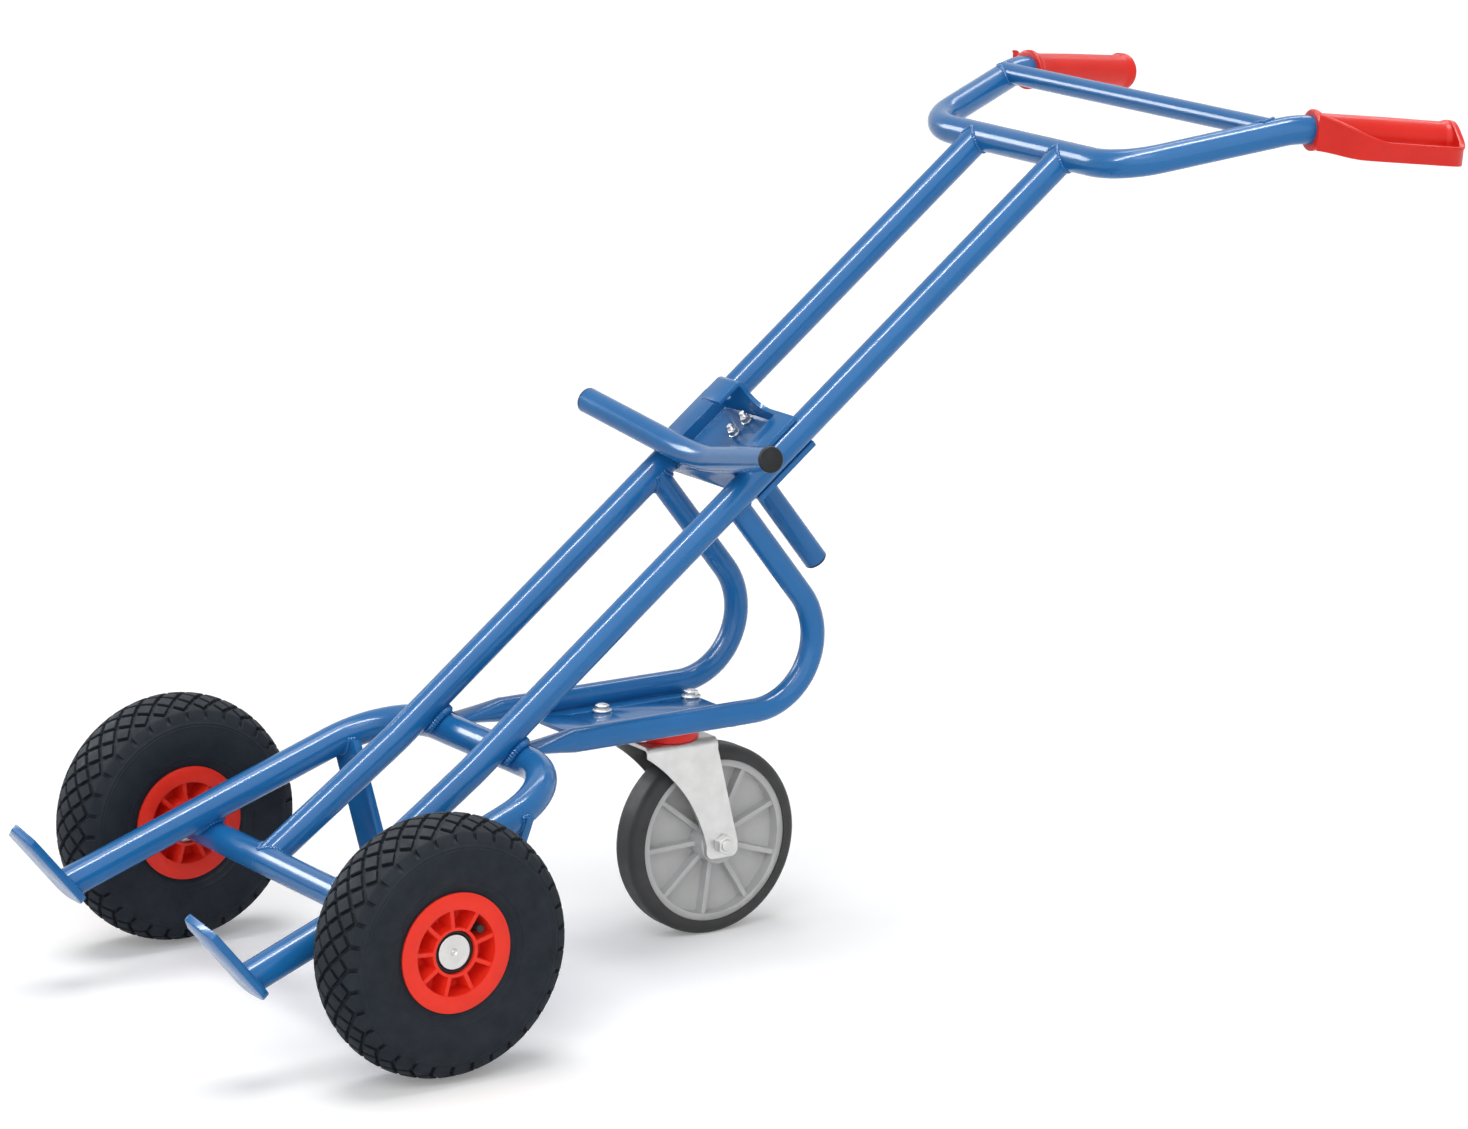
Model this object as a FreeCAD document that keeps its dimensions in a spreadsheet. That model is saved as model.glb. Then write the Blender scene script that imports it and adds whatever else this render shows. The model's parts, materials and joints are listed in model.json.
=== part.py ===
import FreeCAD, Part
import math
import os
import re
import Sketcher

# Drum trolley: two bent tube rails on a pneumatic wheel pair, a toe hoop with two blades,
# a swivel castor behind, a sliding drum hook, a drum cradle and a handle bow with safety grips.
# Lengths are in millimetres and angles in degrees. X runs from the toe blades to the grips,
# Z is up, and left is the side of negative Y.

SIZES = {
    # main wheels
    "wheel_diameter": 260,
    "wheel_track": 534,
    "tyre_wall": 7,
    "tyre_bead_width": 10,
    "tyre_shoulder_drop": 11,
    "tyre_shoulder_half": 33,
    "tyre_side_radius": 54,
    "tyre_crown_radius": 58,
    "tube_wall": 2,
    "rim_flange_diameter": 118,
    "rim_seat_diameter": 101,
    "rim_bore_diameter": 85,
    "rim_width": 62,
    "rim_flange_thickness": 3,
    "rim_web_thickness": 8,
    "rim_rib_thickness": 4,
    "rim_rib_setback": 2,
    "rim_rib_count": 9,
    "hub_diameter": 49,
    "hub_recess_diameter": 43,
    "hub_bore_diameter": 28,
    "hub_setback": 10,
    "bearing_length": 18,
    "valve_diameter": 8,
    "valve_length": 26,
    "rim_turn": 15,
    # axle
    "axle_diameter": 20,
    "axle_tube_diameter": 30,
    "axle_running_gap": 0.05,
    "axle_tube_gap": 0.1,
    "axle_washer_diameter": 42,
    "axle_washer_thickness": 3,
    "axle_end_play": 0.3,
    "hub_ring_diameter": 42,
    "hub_ring_thickness": 1.5,
    "hub_ring_rim": 3,
    "hub_ring_gap": 0.2,
    "hub_cap_diameter": 36,
    "hub_cap_height": 4,
    "hub_cap_wall": 1.5,
    # rails
    "rail_diameter": 30,
    "rail_wall": 2.5,
    "rail_spacing": 150,
    "rail_angle": 37.7,
    "rail_bend": 3,
    "rail_bend_radius": 150,
    "rail_foot": 182.5,
    "rail_length": 900,
    # toe hoop and blades
    "hoop_diameter": 32,
    "hoop_wall": 3,
    "hoop_spacing": 377,
    "hoop_angle": 20,
    "hoop_taper": 2.8,
    "hoop_bend_radius": 85,
    "toe_reach": 161,
    "blade_angle": 39.5,
    "blade_thickness": 8,
    "blade_width": 48,
    "blade_front": 93,
    "blade_point": 19,
    "blade_tip_offset": 7,
    "blade_base": 20,
    "blade_corner_radius": 16,
    # tilt step under the hoop
    "step_width": 50,
    "step_thickness": 8,
    "step_spacing": 340,
    "step_along": 166,
    "step_inward": 28,
    "step_drop": 120,
    # castor stays and plate
    "stay_diameter": 25,
    "stay_wall": 2.5,
    "stay_spacing": 142,
    "stay_along": 388,
    "stay_bend_radius": 71,
    "stay_flat_length": 54,
    "stay_tip_reach": 10,
    "stay_tip_rise": 8,
    "stay_flat_width": 34,
    "stay_flat_thickness": 9,
    "plate_thickness": 5,
    "plate_seat_angle": 50,
    "plate_length": 184,
    "plate_rear": 59,
    "slot_width": 9,
    "slot_length": 40,
    # castor
    "castor_diameter": 200,
    "castor_width": 38,
    "castor_height": 234.5,
    "castor_trail": 47,
    "castor_position": 425,
    "castor_rim_diameter": 170,
    "castor_rim_inner_diameter": 156,
    "castor_hub_diameter": 44,
    "castor_hub_length": 56,
    "castor_web_thickness": 8,
    "castor_rib_thickness": 5,
    "castor_rib_setback": 4,
    "castor_rib_count": 9,
    "castor_bush_diameter": 20,
    "castor_bush_gap": 0.05,
    "castor_axle_diameter": 12,
    "castor_side_gap": 1,
    "castor_rim_setback": 2,
    "castor_edge_radius": 10,
    "castor_turn": -18.5,
    "castor_head_width": 18,
    "castor_head_height": 7,
    "castor_nut_height": 9,
    "fork_thickness": 4,
    "fork_bend_radius": 8,
    "fork_crown_length": 84,
    "fork_crown_drop": 17,
    "fork_foot_width": 38,
    "fork_foot_drop": 15,
    "fork_foot_radius": 8,
    "fork_curve_radius": 170,
    "top_plate_thickness": 4,
    "top_plate_length": 138,
    "top_plate_width": 110,
    "bolt_spacing_length": 108,
    "bolt_spacing_width": 74,
    "bolt_diameter": 8,
    "bolt_hole_gap": 0.25,
    "bolt_head_width": 13,
    "bolt_head_height": 5.5,
    "nut_height": 5,
    "washer_diameter": 20,
    "washer_thickness": 1.6,
    "bolt_overhang": 1,
    "seal_diameter": 66,
    "seal_gap": 0.3,
    "kingpin_diameter": 14,
    "kingpin_head_diameter": 24,
    "kingpin_head_height": 5,
    "kingpin_gap": 0.05,
    # handle
    "bow_diameter": 30,
    "bow_wall": 2.5,
    "bow_corner_half": 167,
    "bow_corner_radius": 70,
    "bow_arm_length": 188,
    "bow_arm_splay": 24,
    "bow_arm_rise": 11,
    "bow_grip_radius": 80,
    "grip_splay": 11.7,
    "grip_drop": 6.7,
    "crossbar_diameter": 22,
    "crossbar_wall": 2,
    "crossbar_reach": 160,
    "crossbar_lift": 6,
    "grip_setback": 16,
    "grip_length": 161,
    "grip_diameter": 36,
    "grip_gap": 0.1,
    "grip_flange_diameter": 43,
    "grip_flange_thickness": 5,
    "grip_end_diameter": 40,
    "grip_end_thickness": 5,
    "grip_end_wall": 3,
    "guard_reach": 50,
    "guard_thickness": 4.5,
    "guard_height": 20,
    "guard_drop": 13,
    "guard_rise": 40,
    "guard_corner_radius": 16,
    # drum cradle
    "cradle_diameter": 26.9,
    "cradle_wall": 2,
    "cradle_along": 410,
    "cradle_rise": 22.5,
    "cradle_half": 170,
    "cradle_tilt": 14,
    "cradle_bend_radius": 170,
    "cradle_plate_half": 66,
    "cradle_plate_thickness": 6,
    "cradle_plate_depth": 12,
    "cap_thickness": 3,
    "cap_gap": 0.1,
    "cap_plug_length": 14,
    # sliding drum hook
    "hook_gap": 0.4,
    "hook_stop_gap": 1,
    "hook_length": 66,
    "hook_sheet": 5,
    "hook_bend_radius": 8,
    "hook_ear_half": 82,
    "hook_wall_half": 56,
    "hook_web": 2,
    "hook_claw_width": 35,
    "hook_claw_height": 58,
    "hook_shoulder_radius": 22,
    "hook_lip": 34,
    "hook_back_lead": 15,
    "hook_back_length": 82,
    "hook_back_half": 82,
    "hook_back_thickness": 6,
    "hook_bolt_inset": 33,
    "hook_bolt_pitch": 19,
    "hook_spacer_diameter": 14,
    "lever_diameter": 25,
    "lever_wall": 2,
    "lever_inset": 24,
    "lever_length": 145,
}

FORWARD = FreeCAD.Vector(1, 0, 0)
ACROSS = FreeCAD.Vector(0, 1, 0)
UP = FreeCAD.Vector(0, 0, 1)
SAME_PLACE = 0.001

doc = FreeCAD.newDocument("drum_trolley")
sheet = doc.addObject("Spreadsheet::Sheet", "sizes")
for row, (alias, number) in enumerate(SIZES.items(), start=1):
    sheet.set(f"A{row}", alias)
    sheet.set(f"B{row}", str(number))
    sheet.setAlias(f"B{row}", alias)
doc.recompute()

sub_parts = []


def bound(text):
    """The expression with each size's name turned into its cell."""
    return re.sub(r"[a-z_]+", lambda word: "sizes." + word[0] if word[0] in SIZES else word[0], text)


def size(text):
    """The number of an expression of the named sizes."""
    number = doc.getObject("sizes").evalExpression(bound(text).replace("sizes.", ""))
    return float(getattr(number, "Value", number))


def point(x, y, z):
    return FreeCAD.Vector(x, y, z)


def heading(angle):
    """A direction in the XZ plane, by its angle above +X."""
    return point(math.cos(math.radians(angle)), 0, math.sin(math.radians(angle)))


def frame_at(base, z_axis, x_axis):
    """A placement whose own Z and X axes point along the two directions."""
    return FreeCAD.Placement(base, FreeCAD.Rotation(x_axis, z_axis.cross(x_axis), z_axis, "ZXY"))


def keep(item, label):
    """Marks an object of the document as a sub-part of the trolley."""
    item.Label = label
    sub_parts.append(item)
    return item


def bind(item, **expressions):
    for name, text in expressions.items():
        item.setExpression(name, bound(text))
    return item


# Sketch and feature helpers

def plane_sketch(body, role, name, offset="0"):
    """A sketch on one of the body's own planes, moved along the plane's normal."""
    plane = next(item for item in body.Origin.OriginFeatures if item.Role == role)
    sketch = body.newObject("Sketcher::SketchObject", name)
    sketch.AttachmentSupport = [(plane, "")]
    sketch.MapMode = "FlatFace"
    sketch.setExpression("AttachmentOffset.Base.z", bound(offset))
    doc.recompute()
    return sketch


def pin_point(sketch, geometry, end, x_text, y_text):
    """Holds one end of a line or arc at the expressions' place."""
    for kind, axis, text in (("DistanceX", -2, x_text), ("DistanceY", -1, y_text)):
        if abs(size(text)) < 1e-9:
            sketch.addConstraint(Sketcher.Constraint("PointOnObject", geometry, end, axis))
            continue
        index = sketch.addConstraint(Sketcher.Constraint(kind, -1, 1, geometry, end, size(text)))
        sketch.setExpression(f"Constraints[{index}]", bound(text))


def outline(sketch, corners):
    """A closed outline through corners given as expressions.

    A third item in a corner is the radius of the arc to the next one, negative to the right.
    A half circle needs its two corners one above the other.
    """
    places = [point(size(corner[0]), size(corner[1]), 0) for corner in corners]
    ends = []
    for index, corner in enumerate(corners):
        start = places[index]
        finish = places[(index + 1) % len(corners)]
        if len(corner) == 2:
            ends.append((sketch.addGeometry(Part.LineSegment(start, finish)), 1, 2))
            continue
        radius = size(corner[2])
        chord = finish - start
        left = point(-chord.y, chord.x, 0).normalize()
        depth = math.sqrt(max(radius ** 2 - (chord.Length / 2) ** 2, 0))
        centre = (start + finish) * 0.5 + left * math.copysign(depth, radius)
        first, last = (start, finish) if radius > 0 else (finish, start)
        circle = Part.Circle(centre, UP, abs(radius))
        arc = Part.ArcOfCircle(circle, circle.parameter(first), circle.parameter(last))
        geometry = sketch.addGeometry(arc)
        ends.append((geometry, 1, 2) if radius > 0 else (geometry, 2, 1))
        if depth < 1e-6:
            sketch.addConstraint(Sketcher.Constraint("Vertical", geometry, 1, geometry, 3))
            continue
        held = sketch.addConstraint(Sketcher.Constraint("Radius", geometry, abs(radius)))
        sketch.setExpression(f"Constraints[{held}]", bound(f"abs({corner[2]})"))
    for index, (geometry, start_end, finish_end) in enumerate(ends):
        following, following_end, _ = ends[(index + 1) % len(ends)]
        meeting = Sketcher.Constraint("Coincident", geometry, finish_end, following, following_end)
        sketch.addConstraint(meeting)
        pin_point(sketch, geometry, start_end, corners[index][0], corners[index][1])


def ring(sketch, *diameters):
    """Circles about the sketch's origin."""
    for text in diameters:
        circle = sketch.addGeometry(Part.Circle(point(0, 0, 0), UP, size(text) / 2))
        sketch.addConstraint(Sketcher.Constraint("Coincident", circle, 3, -1, 1))
        index = sketch.addConstraint(Sketcher.Constraint("Diameter", circle, size(text)))
        sketch.setExpression(f"Constraints[{index}]", bound(text))


def hole_at(sketch, x_text, y_text, diameter):
    circle = sketch.addGeometry(Part.Circle(point(size(x_text), size(y_text), 0), UP, size(diameter) / 2))
    pin_point(sketch, circle, 3, x_text, y_text)
    index = sketch.addConstraint(Sketcher.Constraint("Diameter", circle, size(diameter)))
    sketch.setExpression(f"Constraints[{index}]", bound(diameter))


def new_body(name):
    return doc.addObject("PartDesign::Body", name)


def pad(body, sketch, length, reverse=False):
    feature = body.newObject("PartDesign::Pad", "pad")
    feature.Profile = sketch
    bind(feature, Length=length)
    feature.Reversed = reverse
    doc.recompute()
    return feature


def round_edge(body, radius, y_text, z_text):
    """Rounds the straight edges along X at a height and a distance to either side."""
    base = body.Tip
    names = []
    for index, edge in enumerate(base.Shape.Edges, start=1):
        box = edge.BoundBox
        at_side = abs(abs(box.Center.y) - size(y_text)) < SAME_PLACE
        at_height = abs(box.Center.z - size(z_text)) < SAME_PLACE
        if at_side and at_height and box.YLength + box.ZLength < SAME_PLACE:
            names.append(f"Edge{index}")
    feature = body.newObject("PartDesign::Fillet", "round")
    feature.Base = (base, names)
    bind(feature, Radius=radius)
    body.Tip = feature
    doc.recompute()


def turned(name, corners):
    """A body turned about its own Z axis from an outline of radius and height."""
    body = new_body(name)
    sketch = plane_sketch(body, "XZ_Plane", "profile")
    outline(sketch, corners)
    feature = body.newObject("PartDesign::Revolution", "turn")
    feature.Profile = sketch
    feature.ReferenceAxis = (sketch, ["V_Axis"])
    feature.Angle = 360
    doc.recompute()
    return body


def turned_ring(name, outer, inner, height):
    """A plain ring from its two diameters and its height."""
    radii = (f"({outer}) / 2", f"({inner}) / 2")
    return turned(name, [(radii[1], "0"), (radii[0], "0"), (radii[0], height), (radii[1], height)])


def plate(name, loops, thickness):
    """A flat body on its own XY plane from an outline and any holes."""
    body = new_body(name)
    sketch = plane_sketch(body, "XY_Plane", "profile")
    for loop in loops:
        outline(sketch, loop)
    pad(body, sketch, thickness)
    return body


def bent_tube(name, diameter, bore, runs, bends):
    """A tube that starts along its own Z and bends in its XZ plane.

    Runs reach from corner to corner. A bend is its radius, its angle and its side, 1 for left.
    """
    body = new_body(name)
    path = plane_sketch(body, "XZ_Plane", "path")
    corner = point(0, 0, 0)
    direction = point(0, 1, 0)
    joints = []
    trims = ["0"]
    for radius, angle, _ in bends:
        trims.append(f"({radius}) * tan(({angle}) * 0.5 deg)")
    trims.append("0")
    for index, run in enumerate(runs):
        length = f"{run} - {trims[index]} - {trims[index + 1]}"
        finish = corner + direction * size(length)
        line = path.addGeometry(Part.LineSegment(corner, finish))
        held = path.addConstraint(Sketcher.Constraint("Distance", line, size(length)))
        path.setExpression(f"Constraints[{held}]", bound(length))
        joints.append((line, 1, 2))
        corner = finish
        if index == len(bends):
            break
        radius, angle, side = bends[index]
        centre = corner + point(-direction.y, direction.x, 0) * size(radius) * side
        turn = FreeCAD.Rotation(UP, side * size(angle))
        finish = centre + turn.multVec(corner - centre)
        direction = turn.multVec(direction)
        circle = Part.Circle(centre, UP, size(radius))
        first, last = (corner, finish) if side > 0 else (finish, corner)
        arc = path.addGeometry(Part.ArcOfCircle(circle, circle.parameter(first), circle.parameter(last)))
        held = path.addConstraint(Sketcher.Constraint("Radius", arc, size(radius)))
        path.setExpression(f"Constraints[{held}]", bound(radius))
        held = path.addConstraint(Sketcher.Constraint("Angle", arc, math.radians(size(angle))))
        path.setExpression(f"Constraints[{held}]", bound(f"({angle}) * 1 deg"))
        joints.append((arc, 1, 2) if side > 0 else (arc, 2, 1))
        corner = finish
    path.addConstraint(Sketcher.Constraint("Coincident", joints[0][0], 1, -1, 1))
    path.addConstraint(Sketcher.Constraint("Vertical", joints[0][0]))
    for (before, _, end), (after, start, _) in zip(joints, joints[1:]):
        path.addConstraint(Sketcher.Constraint("Tangent", before, end, after, start))
    section = plane_sketch(body, "XY_Plane", "section")
    ring(section, *([diameter] if bore is None else [diameter, bore]))
    pipe = body.newObject("PartDesign::AdditivePipe", "pipe")
    pipe.Profile = section
    pipe.Spine = (path, [f"Edge{index + 1}" for index in range(len(joints))])
    doc.recompute()
    return body


def rod(name, diameter, length, placement):
    """A solid cylinder along its own Z."""
    item = doc.addObject("Part::Cylinder", name)
    bind(item, Radius=f"({diameter}) / 2", Height=length)
    item.Placement = placement
    return item


def straight_tube(name, diameter, bore, length, placement):
    """A hollow cylinder along its own Z, with its bore cut right through."""
    outer = rod(name + "_outer", diameter, length, placement)
    inner = rod(name + "_bore", bore, length, placement)
    return cut(outer, inner)


def cut(base, *tools):
    for tool in tools:
        result = doc.addObject("Part::Cut", "cut")
        result.Base = base
        result.Tool = tool
        base = result
    doc.recompute()
    return base


def fuse(base, tool):
    result = doc.addObject("Part::Fuse", "fuse")
    result.Base = base
    result.Tool = tool
    doc.recompute()
    return result


def group(items):
    """Separate solids that share one name."""
    result = doc.addObject("Part::Compound", "group")
    result.Links = items
    doc.recompute()
    return result


def hexagon(width):
    """Corners of a hexagon by its width across flats."""
    half = f"({width}) / 2"
    edge = f"({width}) / 2 * tan(30 deg)"
    tip = f"({width}) / 2 / cos(30 deg)"
    return [(half, f"-{edge}"), (half, edge), ("0", tip), (f"-{half}", edge), (f"-{half}", f"-{edge}"),
            ("0", f"-{tip}")]


# Reference places: the axle, the rails' bend and the rails' own frame

LEFT, RIGHT = -1, 1
SIDES = (("left", LEFT), ("right", RIGHT))

axle_centre = point(0, 0, size("wheel_diameter / 2"))
rail_way = heading(size("rail_angle"))
rail_front = heading(size("rail_angle") + 90)
rail_corner = axle_centre + heading(size("rail_angle - rail_bend")) * size("rail_foot")


def on_rail(along, front, y=0.0):
    """A place by its distance up the rails, its distance in front of their axes, and Y."""
    return rail_corner + rail_way * along + rail_front * front + ACROSS * y


def across_rod(name, diameter, half, centre):
    """A cylinder along Y, centred on a place."""
    return rod(name, diameter, f"2 * ({half})", frame_at(centre - ACROSS * size(half), ACROSS, FORWARD))


# Axle tube, axle, washers and hub caps

hub_half = "(rim_width / 2 - hub_setback)"
washer_inner = f"(wheel_track / 2 - {hub_half} - axle_end_play - axle_washer_thickness)"
ring_start = f"(wheel_track / 2 + {hub_half} + axle_end_play)"
axle_half = f"({ring_start} + hub_ring_thickness + hub_cap_height - hub_cap_wall)"


def make_axle_tube():
    placement = frame_at(axle_centre - ACROSS * size(washer_inner), ACROSS, FORWARD)
    bore = "axle_diameter + 2 * axle_tube_gap"
    tube = straight_tube("axle_tube", "axle_tube_diameter", bore, f"2 * {washer_inner}", placement)
    keep(tube, "axle_tube")


def make_axle():
    keep(across_rod("axle", "axle_diameter", axle_half, axle_centre), "axle")
    washers = []
    rings = []
    bore = "(axle_diameter + 2 * axle_tube_gap)"
    for name, side in SIDES:
        out = ACROSS * side
        washer = turned_ring(name + "_washer", "axle_washer_diameter", bore, "axle_washer_thickness")
        washer.Placement = frame_at(axle_centre + out * size(washer_inner), out, FORWARD)
        washers.append(washer)
        spacer = turned(name + "_ring", [
            (f"{bore} / 2", "0"),
            ("hub_ring_diameter / 2", "0"),
            ("hub_ring_diameter / 2", "hub_ring_thickness + hub_ring_rim"),
            ("hub_cap_diameter / 2 + hub_ring_gap", "hub_ring_thickness + hub_ring_rim"),
            ("hub_cap_diameter / 2 + hub_ring_gap", "hub_ring_thickness"),
            (f"{bore} / 2", "hub_ring_thickness"),
        ])
        spacer.Placement = frame_at(axle_centre + out * size(ring_start), out, FORWARD)
        rings.append(spacer)
        cap = turned(name + "_cap", [
            (f"{bore} / 2", "0"),
            ("hub_cap_diameter / 2", "0"),
            ("hub_cap_diameter / 2", "hub_cap_height - hub_cap_wall"),
            ("hub_cap_diameter / 2 - hub_cap_wall", "hub_cap_height"),
            ("0", "hub_cap_height"),
            ("0", "hub_cap_height - hub_cap_wall"),
            (f"{bore} / 2", "hub_cap_height - hub_cap_wall"),
        ])
        start = axle_centre + out * size(f"{ring_start} + hub_ring_thickness")
        cap.Placement = frame_at(start, out, FORWARD)
        keep(cap, name + "_hub_cap")
    keep(group(washers), "axle_washers")
    keep(group(rings), "hub_rings")


# Main wheels: tyre, inner tube, ribbed rim, bearings and valve, turned about the axle

rim_half = "(rim_width / 2)"
bead_face = "(rim_width / 2 - rim_flange_thickness)"
bead_top = "(rim_flange_diameter / 2 + 1)"
shoulder = "(wheel_diameter / 2 - tyre_shoulder_drop)"
cavity_foot = ("(rim_flange_diameter / 2 + 3)", f"({bead_face} - tyre_bead_width + 2)")
cavity_shoulder = (f"({shoulder} - tyre_wall)", "(tyre_shoulder_half - tyre_wall)")
cavity_side = "(tyre_side_radius - tyre_wall)"
cavity_crown = "(tyre_crown_radius - tyre_wall)"


def make_tyre():
    return turned("tyre", [
        ("rim_seat_diameter / 2", f"-{bead_face}"),
        (bead_top, f"-{bead_face}", "tyre_side_radius"),
        (shoulder, "-tyre_shoulder_half", "tyre_crown_radius"),
        (shoulder, "tyre_shoulder_half", "tyre_side_radius"),
        (bead_top, bead_face),
        ("rim_seat_diameter / 2", bead_face),
        ("rim_seat_diameter / 2", f"{bead_face} - tyre_bead_width"),
        (cavity_foot[0], cavity_foot[1], f"-{cavity_side}"),
        (cavity_shoulder[0], cavity_shoulder[1], f"-{cavity_crown}"),
        (cavity_shoulder[0], f"-{cavity_shoulder[1]}", f"-{cavity_side}"),
        (cavity_foot[0], f"-{cavity_foot[1]}"),
        ("rim_seat_diameter / 2", f"tyre_bead_width - {bead_face}"),
    ])


def make_inner_tube():
    """The inflated tube lies against the tyre's cavity all round, and is hollow."""
    def loop(step):
        return [
            (f"({cavity_foot[0]} + {step})", f"-({cavity_foot[1]} - {step})", f"({cavity_side} - {step})"),
            (f"({cavity_shoulder[0]} - {step})", f"-({cavity_shoulder[1]} - {step})",
             f"({cavity_crown} - {step})"),
            (f"({cavity_shoulder[0]} - {step})", f"({cavity_shoulder[1]} - {step})",
             f"({cavity_side} - {step})"),
            (f"({cavity_foot[0]} + {step})", f"({cavity_foot[1]} - {step})"),
        ]

    body = turned("inner_tube", loop("0"))
    sketch = plane_sketch(body, "XZ_Plane", "hollow")
    outline(sketch, loop("tube_wall"))
    feature = body.newObject("PartDesign::Groove", "hollow_cut")
    feature.Profile = sketch
    feature.ReferenceAxis = (sketch, ["V_Axis"])
    feature.Angle = 360
    doc.recompute()
    return body


def ribbed(body, inner, outer, half, thickness, count):
    """Radial ribs about the body's own Z axis, from one radius to another."""
    sketch = plane_sketch(body, "XZ_Plane", "rib")
    outline(sketch, [(inner, f"-({half})"), (outer, f"-({half})"), (outer, half), (inner, half)])
    feature = pad(body, sketch, thickness)
    feature.SideType = "Symmetric"
    pattern = body.newObject("PartDesign::PolarPattern", "ribs")
    pattern.Originals = [feature]
    pattern.Axis = (sketch, ["V_Axis"])
    pattern.Angle = 360
    bind(pattern, Occurrences=count)
    body.Tip = pattern
    doc.recompute()


def make_rim():
    web = "(rim_web_thickness / 2)"
    barrel = "(rim_bore_diameter / 2)"
    seat = "(rim_seat_diameter / 2)"
    flange = "(rim_flange_diameter / 2)"
    collar = f"({rim_half} - rim_rib_setback)"
    body = turned("rim", [
        ("hub_bore_diameter / 2", f"-{hub_half}"),
        ("hub_recess_diameter / 2", f"-{hub_half}"),
        ("hub_recess_diameter / 2", f"-{collar}"),
        ("hub_diameter / 2", f"-{collar}"),
        ("hub_diameter / 2", f"-{web}"),
        (barrel, f"-{web}"),
        (barrel, f"-{rim_half}"),
        (flange, f"-{rim_half}"),
        (flange, f"-{bead_face}"),
        (seat, f"-{bead_face}"),
        (seat, bead_face),
        (flange, bead_face),
        (flange, rim_half),
        (barrel, rim_half),
        (barrel, web),
        ("hub_diameter / 2", web),
        ("hub_diameter / 2", collar),
        ("hub_recess_diameter / 2", collar),
        ("hub_recess_diameter / 2", hub_half),
        ("hub_bore_diameter / 2", hub_half),
    ])
    ribbed(body, "hub_diameter / 2 - 1", f"{barrel} + 1", collar, "rim_rib_thickness", "rim_rib_count")
    return body


def make_wheel(name, side):
    centre = axle_centre + ACROSS * side * size("wheel_track / 2")
    out = ACROSS * side
    turn = frame_at(centre, out, heading(size("rim_turn")))
    for label, body in (("tyre", make_tyre()), ("inner_tube", make_inner_tube()), ("rim", make_rim())):
        body.Placement = turn
        keep(body, f"{name}_{label}")
    bearings = []
    for end in (-1, 1):
        bearing = turned_ring(f"{name}_bearing", "hub_bore_diameter",
                              "axle_diameter + 2 * axle_running_gap", "bearing_length")
        bearing.Placement = frame_at(centre + out * end * size(hub_half), out * -end, FORWARD)
        bearings.append(bearing)
    keep(group(bearings), f"{name}_bearings")
    reach = size("(hub_diameter + rim_bore_diameter) / 4")
    pocket = heading(size("rim_turn") - side * 180 / size("rim_rib_count"))
    foot = centre + out * size("rim_web_thickness / 2") + pocket * reach
    keep(rod(f"{name}_valve_stem", "valve_diameter", "valve_length", frame_at(foot, out, FORWARD)),
         f"{name}_valve")


# Rails

foot_x = "(rail_foot * cos((rail_angle - rail_bend) * 1 deg))"
foot_z = "(wheel_diameter / 2 + rail_foot * sin((rail_angle - rail_bend) * 1 deg))"
hoop_lift = "((hoop_diameter + axle_tube_diameter) / 2)"
touch_x = f"(-{hoop_lift} * sin(hoop_angle * 1 deg))"
touch_z = f"(wheel_diameter / 2 + {hoop_lift} * cos(hoop_angle * 1 deg))"
touch_front = (f"(({foot_x} - {touch_x}) * sin(rail_angle * 1 deg)"
               f" + ({touch_z} - {foot_z}) * cos(rail_angle * 1 deg))")
hoop_run = (f"(({touch_front} + (rail_diameter + hoop_diameter) / 2)"
            " / sin((rail_angle - hoop_angle) * 1 deg))")
hoop_bore = "(hoop_diameter - 2 * hoop_wall)"
hoop_way = heading(size("hoop_angle"))
hoop_touch = point(size(touch_x), 0, size(touch_z))
hoop_bar = hoop_touch + hoop_way * size(hoop_run)
bow_bar = on_rail(size("rail_length"), 0)


def make_rails():
    axle_tool = across_rod("axle_tool", "axle_tube_diameter", "rail_spacing", axle_centre)
    bow_tool = across_rod("bow_tool", "bow_diameter", "rail_spacing", bow_bar)
    for name, side in SIDES:
        tube = bent_tube(name + "_rail_tube", "rail_diameter", "rail_diameter - 2 * rail_wall",
                         ["rail_foot", "rail_length"], [("rail_bend_radius", "rail_bend", 1)])
        way = heading(size("rail_angle - rail_bend"))
        base = axle_centre + ACROSS * side * size("rail_spacing / 2")
        tube.Placement = frame_at(base, way, ACROSS.cross(way))
        keep(cut(tube, axle_tool, bow_tool), name + "_rail")


# Toe hoop, blades and tilt step

blade_way = heading(size("blade_angle"))
blade_up = heading(size("blade_angle") + 90)
arm_end = hoop_touch - hoop_way * size("toe_reach")


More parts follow.
